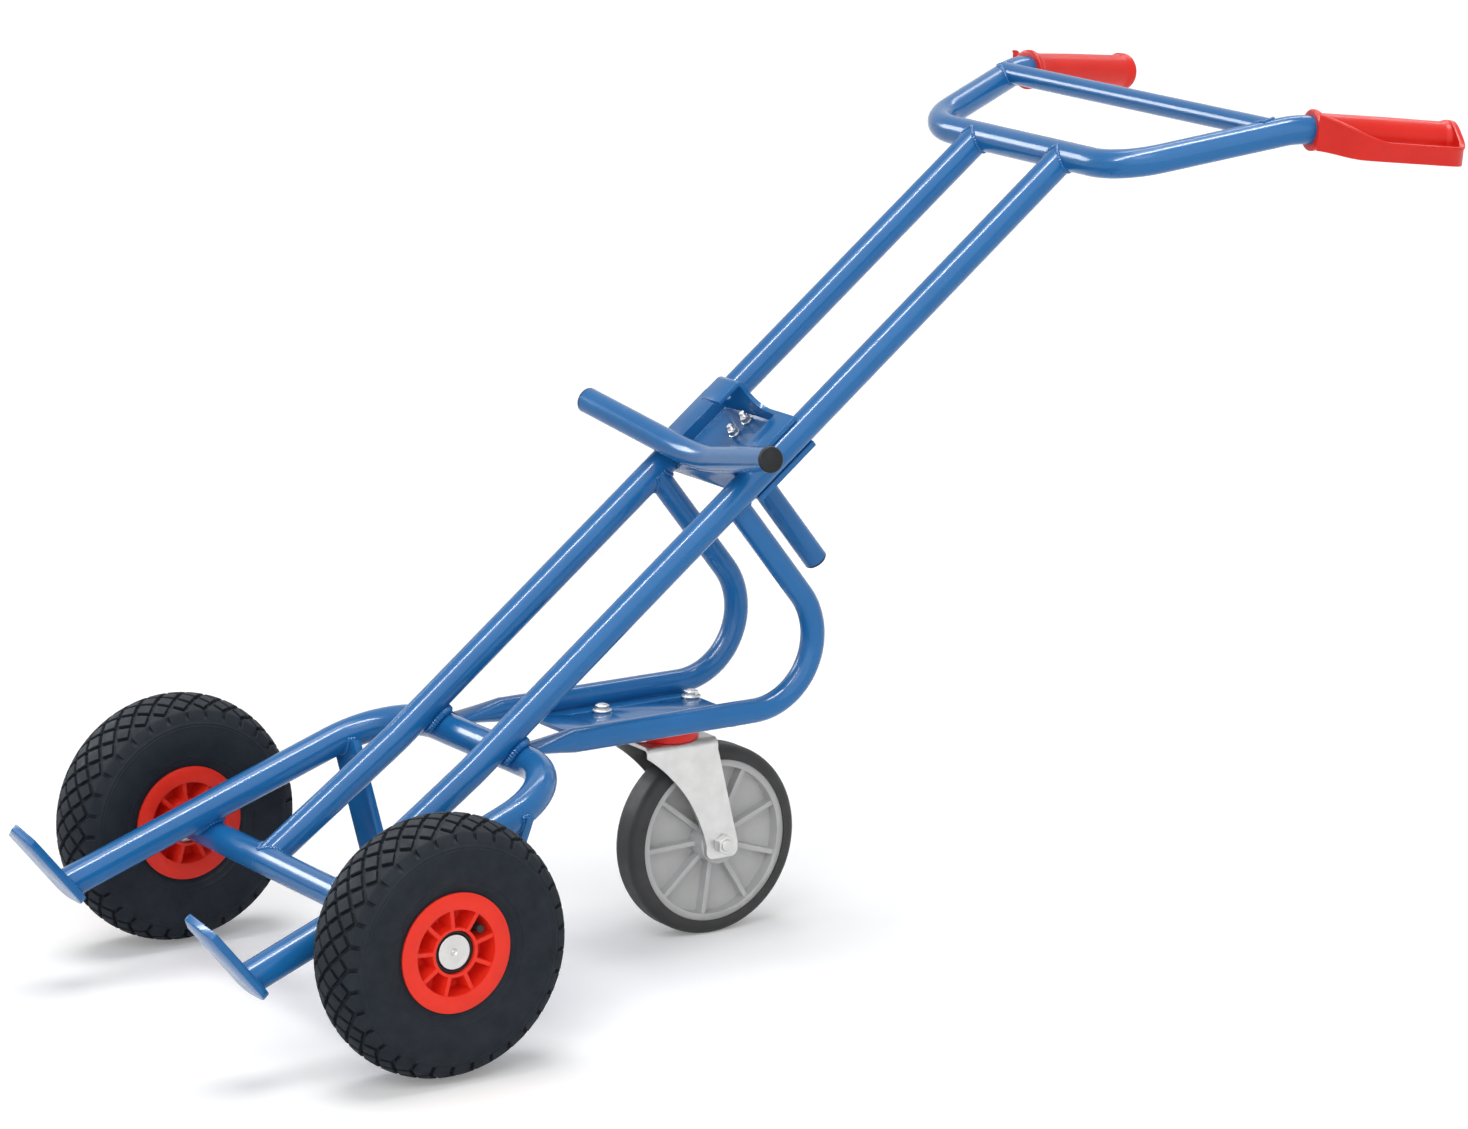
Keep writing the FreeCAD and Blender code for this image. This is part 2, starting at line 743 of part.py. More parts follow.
def make_hoop():
    arm = f"((toe_reach + hoop_diameter + {hoop_run}) / cos(hoop_taper * 1 deg))"
    bar = f"(hoop_spacing - 2 * (toe_reach + {hoop_run}) * tan(hoop_taper * 1 deg))"
    bend = ("hoop_bend_radius", "90 - hoop_taper", -1)
    inward = FreeCAD.Rotation(hoop_way.cross(ACROSS), size("hoop_taper"))
    way = inward.multVec(hoop_way)
    front = arm_end - ACROSS * size("hoop_spacing / 2")
    base = front - way * size("hoop_diameter / cos(hoop_taper * 1 deg)")
    tubes = []
    for name, bore in (("hoop_tube", hoop_bore), ("hoop_core", None)):
        tube = bent_tube(name, "hoop_diameter", bore, [arm, bar, arm], [bend, bend])
        tube.Placement = frame_at(base, way, inward.multVec(ACROSS))
        tubes.append(tube)
    face = doc.addObject("Part::Box", "blade_face")
    bind(face, Length="4 * hoop_diameter", Width="2 * hoop_spacing", Height="4 * hoop_diameter")
    corner = arm_end + ACROSS * size("hoop_spacing") - blade_up * size("2 * hoop_diameter")
    face.Placement = frame_at(corner - blade_way * size("4 * hoop_diameter"), blade_way, blade_up)
    keep(cut(tubes[0], face), "toe_hoop")
    return tubes[1]


def make_blades():
    half = "(blade_width / 2)"
    inset = "(blade_corner_radius - blade_base)"
    side_in = f"({half} - blade_corner_radius)"
    for name, side in SIDES:
        body = plate(name + "_blade", [[
            ("blade_front - blade_point", f"-{half}"),
            ("blade_front", f"{-side} * blade_tip_offset"),
            ("blade_front - blade_point", half),
            (inset, half, "blade_corner_radius"),
            ("-blade_base", side_in),
            ("-blade_base", f"-{side_in}", "blade_corner_radius"),
            (inset, f"-{half}"),
        ]], "blade_thickness")
        base = arm_end + ACROSS * side * size("hoop_spacing / 2")
        body.Placement = frame_at(base, blade_way * -1, blade_up)
        keep(body, name + "_toe_blade")


def make_step(core):
    """A flat step whose two legs hang from the hoop and run inward to the tread."""
    outer = "(step_spacing / 2 + step_width / 2)"
    inner = "(step_spacing / 2 - step_width / 2)"
    tread_inner = f"({inner} - step_drop * tan(step_inward * 1 deg))"
    tread_outer = f"({outer} - (step_drop + step_width) * tan(step_inward * 1 deg))"
    body = plate("step_blank", [[
        (f"-{outer}", "0"),
        (f"-{inner}", "0"),
        (f"-{tread_inner}", "step_drop"),
        (tread_inner, "step_drop"),
        (inner, "0"),
        (outer, "0"),
        (tread_outer, "step_drop + step_width"),
        (f"-{tread_outer}", "step_drop + step_width"),
    ]], "step_thickness")
    down = UP * -1
    normal = ACROSS.cross(down)
    top = hoop_touch + hoop_way * size("step_along")
    body.Placement = frame_at(top - normal * size("step_thickness / 2"), normal, ACROSS)
    keep(cut(body, core), "tilt_step")


# Castor stays and mount plate

stay_z = "(castor_height + plate_thickness + stay_diameter / 2 * cos(plate_seat_angle * 1 deg))"
stay_start_x = f"({foot_x} + stay_along * cos(rail_angle * 1 deg))"
stay_start_z = f"({foot_z} + stay_along * sin(rail_angle * 1 deg))"
stay_fall = f"(({stay_start_z} - {stay_z}) / cos(rail_angle * 1 deg))"
hoop_bar_x = f"({touch_x} + {hoop_run} * cos(hoop_angle * 1 deg))"
stay_run = (f"({stay_start_x} + {stay_fall} * sin(rail_angle * 1 deg)"
            f" - {hoop_bar_x} - stay_tip_reach - stay_flat_length)")


def make_stays():
    hoop_tool = across_rod("hoop_tool", "hoop_diameter", "rail_spacing", hoop_bar)
    for name, side in SIDES:
        y = side * size("stay_spacing / 2")
        tube = bent_tube(name + "_stay_tube", "stay_diameter", "stay_diameter - 2 * stay_wall",
                         [stay_fall, stay_run], [("stay_bend_radius", "90 + rail_angle", -1)])
        tube.Placement = frame_at(on_rail(size("stay_along"), 0, y), rail_front * -1, rail_way * -1)
        tip_x = size(f"{hoop_bar_x} + stay_tip_reach")
        round_end = doc.addObject("Part::Circle", "stay_round")
        bind(round_end, Radius="stay_diameter / 2")
        round_place = point(tip_x + size("stay_flat_length"), y, size(stay_z))
        round_end.Placement = frame_at(round_place, FORWARD, ACROSS)
        flat_end = doc.addObject("Part::Ellipse", "stay_flat")
        bind(flat_end, MajorRadius="stay_flat_width / 2", MinorRadius="stay_flat_thickness / 2")
        tip = point(tip_x, y, hoop_bar.z + size("stay_tip_rise"))
        flat_end.Placement = frame_at(tip, FORWARD, ACROSS)
        loft = doc.addObject("Part::Loft", "stay_tip")
        loft.Sections = [round_end, flat_end]
        loft.Solid = True
        doc.recompute()
        rail_base = on_rail(0, 0, side * size("rail_spacing / 2"))
        rail_tool = rod(name + "_rail_tool", "rail_diameter", "rail_length",
                        frame_at(rail_base, rail_way, ACROSS))
        keep(cut(fuse(tube, loft), rail_tool, hoop_tool), name + "_castor_stay")


castor_base = point(size("castor_position"), 0, size("castor_height"))
bolt_hole = "(bolt_diameter + 2 * bolt_hole_gap)"


def rectangle(left, right, half):
    return [(left, f"-({half})"), (right, f"-({half})"), (right, half), (left, half)]


def make_mount_plate():
    """The plate lies between the stays, its upper edges on their inner flanks."""
    radius = "(slot_width / 2)"
    half = "stay_spacing / 2 - stay_diameter / 2 * sin(plate_seat_angle * 1 deg)"
    loops = [rectangle("plate_rear - plate_length", "plate_rear", half)]
    for x_side in (-1, 1):
        for y_side in (-1, 1):
            rear = f"({x_side} * bolt_spacing_length / 2)"
            front = f"({rear} - slot_length + slot_width)"
            low = f"({y_side} * bolt_spacing_width / 2 - {radius})"
            high = f"({y_side} * bolt_spacing_width / 2 + {radius})"
            loops.append([(front, low), (rear, low, radius), (rear, high), (front, high, radius)])
    body = plate("mount_plate", loops, "plate_thickness")
    body.Placement = frame_at(castor_base, UP, FORWARD)
    keep(body, "castor_mount_plate")


# Castor: top plate, bolts, kingpin, fork and wheel

def bolt(name, head_width, head_height, diameter, length):
    """A hexagon bolt: head above its own XY plane, shank below."""
    body = new_body(name)
    head = plane_sketch(body, "XY_Plane", "head")
    outline(head, hexagon(head_width))
    pad(body, head, head_height)
    shank = plane_sketch(body, "XY_Plane", "shank")
    ring(shank, diameter)
    pad(body, shank, length, True)
    return body


def nut(name, width, height, bore):
    body = new_body(name)
    sketch = plane_sketch(body, "XY_Plane", "profile")
    outline(sketch, hexagon(width))
    ring(sketch, bore)
    pad(body, sketch, height)
    return body


def make_castor_mounting():
    body = new_body("top_plate")
    sketch = plane_sketch(body, "XY_Plane", "profile")
    outline(sketch, rectangle("-top_plate_length / 2", "top_plate_length / 2", "top_plate_width / 2"))
    ring(sketch, "kingpin_diameter")
    for x_side in (-1, 1):
        for y_side in (-1, 1):
            hole_x = f"{x_side} * bolt_spacing_length / 2"
            hole_y = f"{y_side} * bolt_spacing_width / 2"
            hole_at(sketch, hole_x, hole_y, bolt_hole)
    pad(body, sketch, "top_plate_thickness", True)
    body.Placement = frame_at(castor_base, UP, FORWARD)
    keep(body, "castor_top_plate")
    grip = "(top_plate_thickness + plate_thickness + washer_thickness + nut_height + bolt_overhang)"
    bolts, washers, nuts = [], [], []
    for x_side in (-1, 1):
        for y_side in (-1, 1):
            place = castor_base + point(x_side * size("bolt_spacing_length / 2"),
                                        y_side * size("bolt_spacing_width / 2"), 0)
            item = bolt("castor_bolt", "bolt_head_width", "bolt_head_height", "bolt_diameter", grip)
            item.Placement = frame_at(place - UP * size("top_plate_thickness"), UP * -1, FORWARD)
            bolts.append(item)
            item = turned_ring("castor_washer", "washer_diameter", bolt_hole, "washer_thickness")
            item.Placement = frame_at(place + UP * size("plate_thickness"), UP, FORWARD)
            washers.append(item)
            item = nut("castor_nut", "bolt_head_width", "nut_height", "bolt_diameter")
            item.Placement = frame_at(place + UP * size("plate_thickness + washer_thickness"), UP, FORWARD)
            nuts.append(item)
    keep(group(bolts), "castor_bolts")
    keep(group(washers), "castor_washers")
    keep(group(nuts), "castor_nuts")
    shank = "(top_plate_thickness + fork_crown_drop + fork_thickness + seal_gap)"
    pin = turned("kingpin", [
        ("0", f"-{shank} - kingpin_head_height"),
        ("kingpin_head_diameter / 2", f"-{shank} - kingpin_head_height"),
        ("kingpin_head_diameter / 2", f"-{shank}"),
        ("kingpin_diameter / 2", f"-{shank}"),
        ("kingpin_diameter / 2", "0"),
        ("0", "0"),
    ])
    pin.Placement = frame_at(castor_base, UP, FORWARD)
    keep(pin, "castor_kingpin")


crown_top = "(castor_height - top_plate_thickness - fork_crown_drop)"
fork_inner = "(castor_hub_length / 2 + castor_side_gap)"
fork_outer = f"({fork_inner} + fork_thickness)"
castor_axle = point(size("castor_position + castor_trail"), 0, size("castor_diameter / 2"))


def make_fork():
    """The fork stands on the floor plane below the kingpin, with X along the trail."""
    body = new_body("fork")
    crown = plane_sketch(body, "XY_Plane", "crown", crown_top)
    outline(crown, rectangle("-fork_crown_length / 2", "fork_crown_length / 2", fork_outer))
    ring(crown, "kingpin_diameter + 2 * kingpin_gap")
    pad(body, crown, "fork_thickness", True)
    foot = "(castor_diameter / 2 - fork_foot_drop)"
    shoulder_height = f"({crown_top} - fork_bend_radius - fork_thickness)"
    foot_front = "(castor_trail - fork_foot_width / 2)"
    foot_rear = "(castor_trail + fork_foot_width / 2)"
    for name, offset in (("near", f"{fork_inner}"), ("far", f"-{fork_outer}")):
        leg = plane_sketch(body, "XZ_Plane", name + "_leg", offset)
        outline(leg, [
            ("-fork_crown_length / 2", crown_top),
            ("-fork_crown_length / 2", shoulder_height, "-fork_curve_radius"),
            (foot_front, "castor_diameter / 2"),
            (foot_front, f"{foot} + fork_foot_radius", "fork_foot_radius"),
            (f"{foot_front} + fork_foot_radius", foot),
            (f"{foot_rear} - fork_foot_radius", foot, "fork_foot_radius"),
            (foot_rear, f"{foot} + fork_foot_radius"),
            (foot_rear, "castor_diameter / 2"),
            ("fork_crown_length / 2", shoulder_height),
            ("fork_crown_length / 2", crown_top),
        ])
        hole_at(leg, "castor_trail", "castor_diameter / 2", "castor_axle_diameter + 2 * castor_bush_gap")
        pad(body, leg, "fork_thickness")
    round_edge(body, "fork_bend_radius - fork_thickness", fork_inner, f"{crown_top} - fork_thickness")
    round_edge(body, "fork_bend_radius", fork_outer, crown_top)
    body.Placement = frame_at(point(size("castor_position"), 0, 0), UP, FORWARD)
    keep(body, "castor_fork")
    seal = turned_ring("seal_ring", "seal_diameter", "kingpin_head_diameter", "fork_crown_drop - seal_gap")
    seal.Placement = frame_at(point(size("castor_position"), 0, size(crown_top)), UP, FORWARD)
    keep(seal, "castor_seal_ring")
    length = f"(2 * {fork_outer} + castor_nut_height + bolt_overhang)"
    item = bolt("axle_bolt", "castor_head_width", "castor_head_height", "castor_axle_diameter", length)
    item.Placement = frame_at(castor_axle + ACROSS * size(fork_outer), ACROSS, FORWARD)
    keep(item, "castor_axle_bolt")
    item = nut("axle_nut", "castor_head_width", "castor_nut_height", "castor_axle_diameter")
    item.Placement = frame_at(castor_axle - ACROSS * size(fork_outer), ACROSS * -1, FORWARD)
    keep(item, "castor_axle_nut")


def make_castor_wheel():
    hub = "(castor_hub_length / 2)"
    web = "(castor_web_thickness / 2)"
    half = "(castor_width / 2)"
    rim = "(castor_rim_inner_diameter / 2)"
    centre = turned("castor_centre", [
        ("castor_bush_diameter / 2", f"-{hub}"),
        ("castor_hub_diameter / 2", f"-{hub}"),
        ("castor_hub_diameter / 2", f"-{web}"),
        (rim, f"-{web}"),
        (rim, f"-{half} + castor_rim_setback"),
        ("castor_rim_diameter / 2", f"-{half} + castor_rim_setback"),
        ("castor_rim_diameter / 2", f"{half} - castor_rim_setback"),
        (rim, f"{half} - castor_rim_setback"),
        (rim, web),
        ("castor_hub_diameter / 2", web),
        ("castor_hub_diameter / 2", hub),
        ("castor_bush_diameter / 2", hub),
    ])
    ribbed(centre, "castor_hub_diameter / 2 - 1", f"{rim} + 1", f"{half} - castor_rib_setback",
           "castor_rib_thickness", "castor_rib_count")
    edge = "castor_edge_radius"
    tread = "(castor_diameter / 2)"
    tyre = turned("castor_tread", [
        ("castor_rim_diameter / 2", f"-{half}"),
        (f"{tread} - {edge}", f"-{half}", edge),
        (tread, f"-{half} + {edge}"),
        (tread, f"{half} - {edge}", edge),
        (f"{tread} - {edge}", half),
        ("castor_rim_diameter / 2", half),
    ])
    bush = turned_ring("castor_bushing", "castor_bush_diameter",
                       "castor_axle_diameter + 2 * castor_bush_gap", "castor_hub_length")
    for body, label in ((centre, "castor_wheel_centre"), (tyre, "castor_tyre")):
        body.Placement = frame_at(castor_axle, ACROSS, heading(size("castor_turn")))
        keep(body, label)
    bush.Placement = frame_at(castor_axle - ACROSS * size(hub), ACROSS, FORWARD)
    keep(bush, "castor_bush")


# Handle bow, crossbar and grips

def arm_way(side):
    flat = FreeCAD.Rotation(UP, side * size("bow_arm_splay")).multVec(FORWARD)
    rise = math.radians(size("bow_arm_rise"))
    return flat * math.cos(rise) + UP * math.sin(rise)


def grip_way(side):
    flat = FreeCAD.Rotation(UP, side * size("grip_splay")).multVec(FORWARD)
    drop = math.radians(size("grip_drop"))
    return flat * math.cos(drop) - UP * math.sin(drop)


def bow_corner(side):
    return bow_bar + ACROSS * side * size("bow_corner_half")


def arm_top(side):
    return bow_corner(side) + arm_way(side) * size("bow_arm_length")


def grip_start(side):
    return arm_top(side) + grip_way(side) * size("grip_setback")


def rounded_path(places, radii):
    """A wire through the places, with an arc of the given radius at each inner corner."""
    edges = []
    start = places[0]
    for index, radius in enumerate(radii, start=1):
        corner = places[index]
        back = (places[index - 1] - corner).normalize()
        ahead = (places[index + 1] - corner).normalize()
        half_turn = (math.pi - back.getAngle(ahead)) / 2
        trim = radius * math.tan(half_turn)
        middle = (back + ahead).normalize() * (radius / math.cos(half_turn) - radius)
        edges.append(Part.LineSegment(start, corner + back * trim).toShape())
        edges.append(Part.Arc(corner + back * trim, corner + middle, corner + ahead * trim).toShape())
        start = corner + ahead * trim
    edges.append(Part.LineSegment(start, places[-1]).toShape())
    return Part.Wire(edges)


def swept(path, diameter):
    first = path.Edges[0]
    start = first.FirstParameter
    circle = Part.Circle(first.valueAt(start), first.tangentAt(start), diameter / 2)
    return path.makePipeShell([Part.Wire(circle.toShape())], True, False)


def make_bow():
    tail = size("grip_length - grip_end_wall")
    places = []
    for side in (LEFT, RIGHT):
        bends = [bow_corner(side), arm_top(side), grip_start(side) + grip_way(side) * tail]
        places += bends[::-1] if side == LEFT else bends
    radii = [size(name) for name in ("bow_grip_radius", "bow_corner_radius", "bow_corner_radius",
                                     "bow_grip_radius")]
    path = rounded_path(places, radii)
    bow = doc.addObject("Part::Feature", "bow")
    bow.Shape = swept(path, size("bow_diameter")).cut(swept(path, size("bow_diameter - 2 * bow_wall")))
    keep(bow, "handle_bow")
    left_end = bow_corner(LEFT) + arm_way(LEFT) * size("crossbar_reach") + UP * size("crossbar_lift")
    arm_out = "crossbar_reach * cos(bow_arm_rise * 1 deg) * sin(bow_arm_splay * 1 deg)"
    span = f"(2 * (bow_corner_half + {arm_out}))"
    bar = straight_tube("crossbar", "crossbar_diameter", "crossbar_diameter - 2 * crossbar_wall", span,
                        frame_at(left_end, ACROSS, FORWARD))
    tools = []
    for side in (LEFT, RIGHT):
        tools.append(rod("arm_tool", "bow_diameter", "bow_arm_length",
                         frame_at(bow_corner(side), arm_way(side), UP)))
    keep(cut(bar, *tools), "handle_crossbar")


def make_grips():
    bore = "(bow_diameter / 2 + grip_gap)"
    flange = "(grip_flange_diameter / 2)"
    for name, side in SIDES:
        body = turned(name + "_sleeve", [
            (bore, "0"),
            (flange, "0"),
            (flange, "grip_flange_thickness"),
            ("grip_diameter / 2", "grip_flange_thickness"),
            ("grip_diameter / 2", "grip_length - grip_end_thickness"),
            ("grip_end_diameter / 2", "grip_length - grip_end_thickness"),
            ("grip_end_diameter / 2", "grip_length"),
            ("0", "grip_length"),
            ("0", "grip_length - grip_end_wall"),
            (bore, "grip_length - grip_end_wall"),
        ])
        strap = plane_sketch(body, "XZ_Plane", "guard", f"{side} * guard_drop")
        inner = "(guard_reach - guard_thickness)"
        outline(strap, [
            ("grip_diameter / 2", "0"),
            (f"{flange} + guard_thickness", "0"),
            ("guard_reach", "guard_rise"),
            ("guard_reach", "grip_length - guard_corner_radius", "guard_corner_radius"),
            ("guard_reach - guard_corner_radius", "grip_length"),
            ("grip_diameter / 2", "grip_length"),
            ("grip_diameter / 2", "grip_length - guard_thickness"),
            ("guard_reach - guard_corner_radius", "grip_length - guard_thickness",
             "guard_thickness - guard_corner_radius"),
            (inner, "grip_length - guard_corner_radius"),
            (inner, "guard_rise"),
            (flange, "grip_flange_thickness"),
            ("grip_diameter / 2", "grip_flange_thickness"),
        ])
        feature = pad(body, strap, "guard_height")
        feature.SideType = "Symmetric"
        body.Placement = frame_at(grip_start(side), grip_way(side), ACROSS * side)
        keep(body, name + "_grip")


# Drum cradle

def end_cap(name, diameter, wall):
    """A cap with a plug inside the tube, its rim on the tube's end."""
    plug = f"(({diameter}) / 2 - {wall} - cap_gap)"
    return turned(name, [
        ("0", "-cap_plug_length"),
        (plug, "-cap_plug_length"),
        (plug, "0"),
        (f"({diameter}) / 2", "0"),
        (f"({diameter}) / 2", "cap_thickness / 2"),
        (f"({diameter}) / 2 - cap_thickness / 2", "cap_thickness"),
        ("0", "cap_thickness"),
    ])


def make_cradle():
    tilt = math.radians(size("cradle_tilt"))
    run = "(cradle_half / cos(cradle_tilt * 1 deg))"
    corner_front = "(cradle_rise - cradle_bend_radius * (1 / cos(cradle_tilt * 1 deg) - 1))"
    corner = on_rail(size("cradle_along"), size(corner_front))
    tubes = []
    for name, bore in (("cradle_tube", "cradle_diameter - 2 * cradle_wall"), ("cradle_core", None)):
        tube = bent_tube(name, "cradle_diameter", bore, [run, run],
                         [("cradle_bend_radius", "2 * cradle_tilt", -1)])
        inward = ACROSS * math.cos(tilt) - rail_front * math.sin(tilt)
        tube.Placement = frame_at(corner - inward * size(run), inward, rail_way.cross(inward))
        tubes.append(tube)
    keep(tubes[0], "drum_cradle")
    for name, side in SIDES:
        out = ACROSS * side * math.cos(tilt) + rail_front * math.sin(tilt)
        cap = end_cap(name + "_end_cap", "cradle_diameter", "cradle_wall")
        cap.Placement = frame_at(corner + out * size(run), out, rail_way)
        keep(cap, name + "_cradle_cap")
    blank = doc.addObject("Part::Box", "cradle_blank")
    bind(blank, Length="2 * cradle_plate_half", Width="cradle_plate_depth + cradle_rise",
         Height="cradle_plate_thickness")
    base = on_rail(size("cradle_along - cradle_plate_thickness / 2"), -size("cradle_plate_depth"),
                   -size("cradle_plate_half"))
    blank.Placement = frame_at(base, rail_way, ACROSS)
    tools = [tubes[1]]
    for side in (LEFT, RIGHT):
        tools.append(rod("cradle_rail_tool", "rail_diameter", "rail_length",
                         frame_at(on_rail(0, 0, side * size("rail_spacing / 2")), rail_way, ACROSS)))
    keep(cut(blank, *tools), "cradle_plate")


# Sliding drum hook

ear = "(rail_diameter / 2 + hook_gap)"
hook_wall = "(hook_wall_half - hook_sheet)"
hook_start = "(cradle_along + cradle_diameter / 2 + hook_stop_gap)"


def make_hook():
    """The hook's own Z runs up the rails, its X across and its Y to the front."""
    body = new_body("hook")
    hat = plane_sketch(body, "XY_Plane", "hat")
    outline(hat, [
        ("-hook_ear_half", ear),
        ("-hook_wall_half", ear),
        ("-hook_wall_half", "hook_web"),
        ("hook_wall_half", "hook_web"),
        ("hook_wall_half", ear),
        ("hook_ear_half", ear),
        ("hook_ear_half", f"{ear} + hook_sheet"),
        (hook_wall, f"{ear} + hook_sheet"),
        (hook_wall, "hook_web + hook_sheet"),
        (f"-{hook_wall}", "hook_web + hook_sheet"),
        (f"-{hook_wall}", f"{ear} + hook_sheet"),
        ("-hook_ear_half", f"{ear} + hook_sheet"),
    ])
    pad(body, hat, "hook_length")
    claw = "(hook_claw_width / 2)"
    foot = f"({ear} + hook_sheet)"
    bell = plane_sketch(body, "XY_Plane", "bell", "hook_length - hook_sheet")
    outline(bell, [
        ("-hook_ear_half", ear),
        ("-hook_wall_half", ear),
        ("-hook_wall_half", "hook_web"),
        ("hook_wall_half", "hook_web"),
        ("hook_wall_half", ear),
        ("hook_ear_half", ear),
        ("hook_ear_half", foot),
        (f"{claw} + hook_shoulder_radius", foot, "-hook_shoulder_radius"),
        (claw, f"{foot} + hook_shoulder_radius"),
        (claw, "hook_claw_height"),
        (f"-{claw}", "hook_claw_height"),
        (f"-{claw}", f"{foot} + hook_shoulder_radius", "-hook_shoulder_radius"),
        (f"-{claw} - hook_shoulder_radius", foot),
        ("-hook_ear_half", foot),
    ])
    pad(body, bell, "hook_sheet")
    lip = plane_sketch(body, "XY_Plane", "lip", "hook_length - hook_lip")
    outline(lip, [
        (f"-{claw}", "hook_claw_height - hook_sheet"),
        (claw, "hook_claw_height - hook_sheet"),
        (claw, "hook_claw_height"),
        (f"-{claw}", "hook_claw_height"),
    ])
    pad(body, lip, "hook_lip")
    inner_height = "hook_claw_height - hook_sheet"
    round_edge(body, "hook_bend_radius - hook_sheet", inner_height, "hook_length - hook_sheet")
    round_edge(body, "hook_bend_radius", "hook_claw_height", "hook_length")
    holes = plane_sketch(body, "XZ_Plane", "bolt_holes")
    for step in (0, 1):
        hole_at(holes, "0", f"hook_bolt_inset + {step} * hook_bolt_pitch", bolt_hole)
    bore = body.newObject("PartDesign::Pocket", "bolt_bores")
    bore.Profile = holes
    bind(bore, Length="rail_diameter")
    body.Tip = bore
    doc.recompute()
    body.Placement = frame_at(on_rail(size(hook_start), 0), rail_way, ACROSS)
    keep(body, "hook_block")
    back = "(rail_diameter / 2 + hook_gap)"
    body = new_body("back_plate")
    sketch = plane_sketch(body, "XY_Plane", "profile")
    outline(sketch, [
        ("0", "-hook_back_half"),
        ("hook_back_length", "-hook_back_half"),
        ("hook_back_length", "hook_back_half"),
        ("0", "hook_back_half"),
    ])
    for step in (0, 1):
        hole_at(sketch, f"hook_back_lead + hook_bolt_inset + {step} * hook_bolt_pitch", "0", bolt_hole)
    pad(body, sketch, "hook_back_thickness")
    start = on_rail(size(f"{hook_start} - hook_back_lead"), -size(back))
    body.Placement = frame_at(start, rail_front * -1, rail_way)
    keep(body, "hook_back_plate")
    bolts, spacers = [], []
    for step in (0, 1):
        along = size(f"{hook_start} + hook_bolt_inset + {step} * hook_bolt_pitch")
        item = bolt("hook_bolt", "bolt_head_width", "bolt_head_height", "bolt_diameter",
                    f"hook_web + hook_sheet + {back} + hook_back_thickness")
        item.Placement = frame_at(on_rail(along, size("hook_web + hook_sheet")), rail_front, rail_way)
        bolts.append(item)
        item = turned_ring("hook_spacer", "hook_spacer_diameter", bolt_hole, f"hook_web + {back}")
        item.Placement = frame_at(on_rail(along, -size(back)), rail_front, rail_way)
        spacers.append(item)
    keep(group(bolts), "hook_bolts")
    keep(group(spacers), "hook_spacers")
    start = on_rail(size(f"{hook_start} + lever_inset"), -size(f"{back} + hook_back_thickness"))
    placement = frame_at(start, rail_front * -1, rail_way)
    lever_bore = "lever_diameter - 2 * lever_wall"
    keep(straight_tube("lever", "lever_diameter", lever_bore, "lever_length", placement),
         "hook_lever")
    cap = end_cap("lever_cap", "lever_diameter", "lever_wall")
    cap.Placement = frame_at(start - rail_front * size("lever_length"), rail_front * -1, rail_way)
    keep(cap, "hook_lever_cap")


make_axle_tube()
make_axle()
for wheel_name, wheel_side in SIDES:
    make_wheel(wheel_name, wheel_side)
make_rails()
hoop_core = make_hoop()
make_blades()
make_step(hoop_core)
make_stays()
make_mount_plate()
make_castor_mounting()
make_fork()
make_castor_wheel()
make_bow()
make_grips()
make_cradle()
make_hook()
doc.recompute()

for item in doc.Objects:
    if "Invalid" in item.State or "Error" in item.State:
        raise RuntimeError(f"{item.Label} is not valid: {item.State}")

whole = FreeCAD.BoundBox()
for item in sub_parts:
    if item.Shape.isNull() or not item.Shape.isValid():
        raise RuntimeError(f"{item.Label} has no valid shape")
    whole.add(item.Shape.optimalBoundingBox(False, False))

# The origin is moved to the middle of the trolley's footprint on the floor.
to_middle = FreeCAD.Placement(point(-whole.Center.x, -whole.Center.y, -whole.ZMin), FreeCAD.Rotation())

os.makedirs("parts", exist_ok=True)
for item in sub_parts:
    item.Placement = to_middle.multiply(item.Placement)
doc.recompute()
for item in sub_parts:
    item.Shape.exportStep(f"parts/{item.Label}.step")
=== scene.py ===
"""The drum trolley's looks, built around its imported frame. Lengths are in metres."""
import json
import math

import bmesh
import bpy
from mathutils import Matrix, Vector
from mathutils.bvhtree import BVHTree


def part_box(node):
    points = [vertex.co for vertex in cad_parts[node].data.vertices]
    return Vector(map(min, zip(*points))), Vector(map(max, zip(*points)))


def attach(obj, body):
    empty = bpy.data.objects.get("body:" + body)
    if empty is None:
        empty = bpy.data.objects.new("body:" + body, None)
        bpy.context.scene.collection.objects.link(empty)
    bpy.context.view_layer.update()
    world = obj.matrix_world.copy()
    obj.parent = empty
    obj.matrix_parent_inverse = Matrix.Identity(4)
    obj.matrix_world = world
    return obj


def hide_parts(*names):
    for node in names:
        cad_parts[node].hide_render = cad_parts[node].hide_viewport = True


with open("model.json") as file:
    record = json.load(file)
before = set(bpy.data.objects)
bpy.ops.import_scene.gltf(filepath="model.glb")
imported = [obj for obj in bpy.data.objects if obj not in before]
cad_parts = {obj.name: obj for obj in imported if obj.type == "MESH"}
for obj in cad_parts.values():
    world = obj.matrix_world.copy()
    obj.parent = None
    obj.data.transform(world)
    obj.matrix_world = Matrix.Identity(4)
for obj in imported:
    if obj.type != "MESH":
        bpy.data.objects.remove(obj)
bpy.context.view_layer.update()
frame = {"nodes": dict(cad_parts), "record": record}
nodes = frame["nodes"]
record = frame["record"]
slot_of = {row["node"]: row["material_slot"] for row in record["subparts"]}
body_of = {node: body for body, members in record["behaviour"]["bodies"].items() for node in members}

MM = 0.001
SIDES = (("left", -1), ("right", 1))
FORWARD = Vector((1, 0, 0))
ACROSS = Vector((0, 1, 0))
UP = Vector((0, 0, 1))

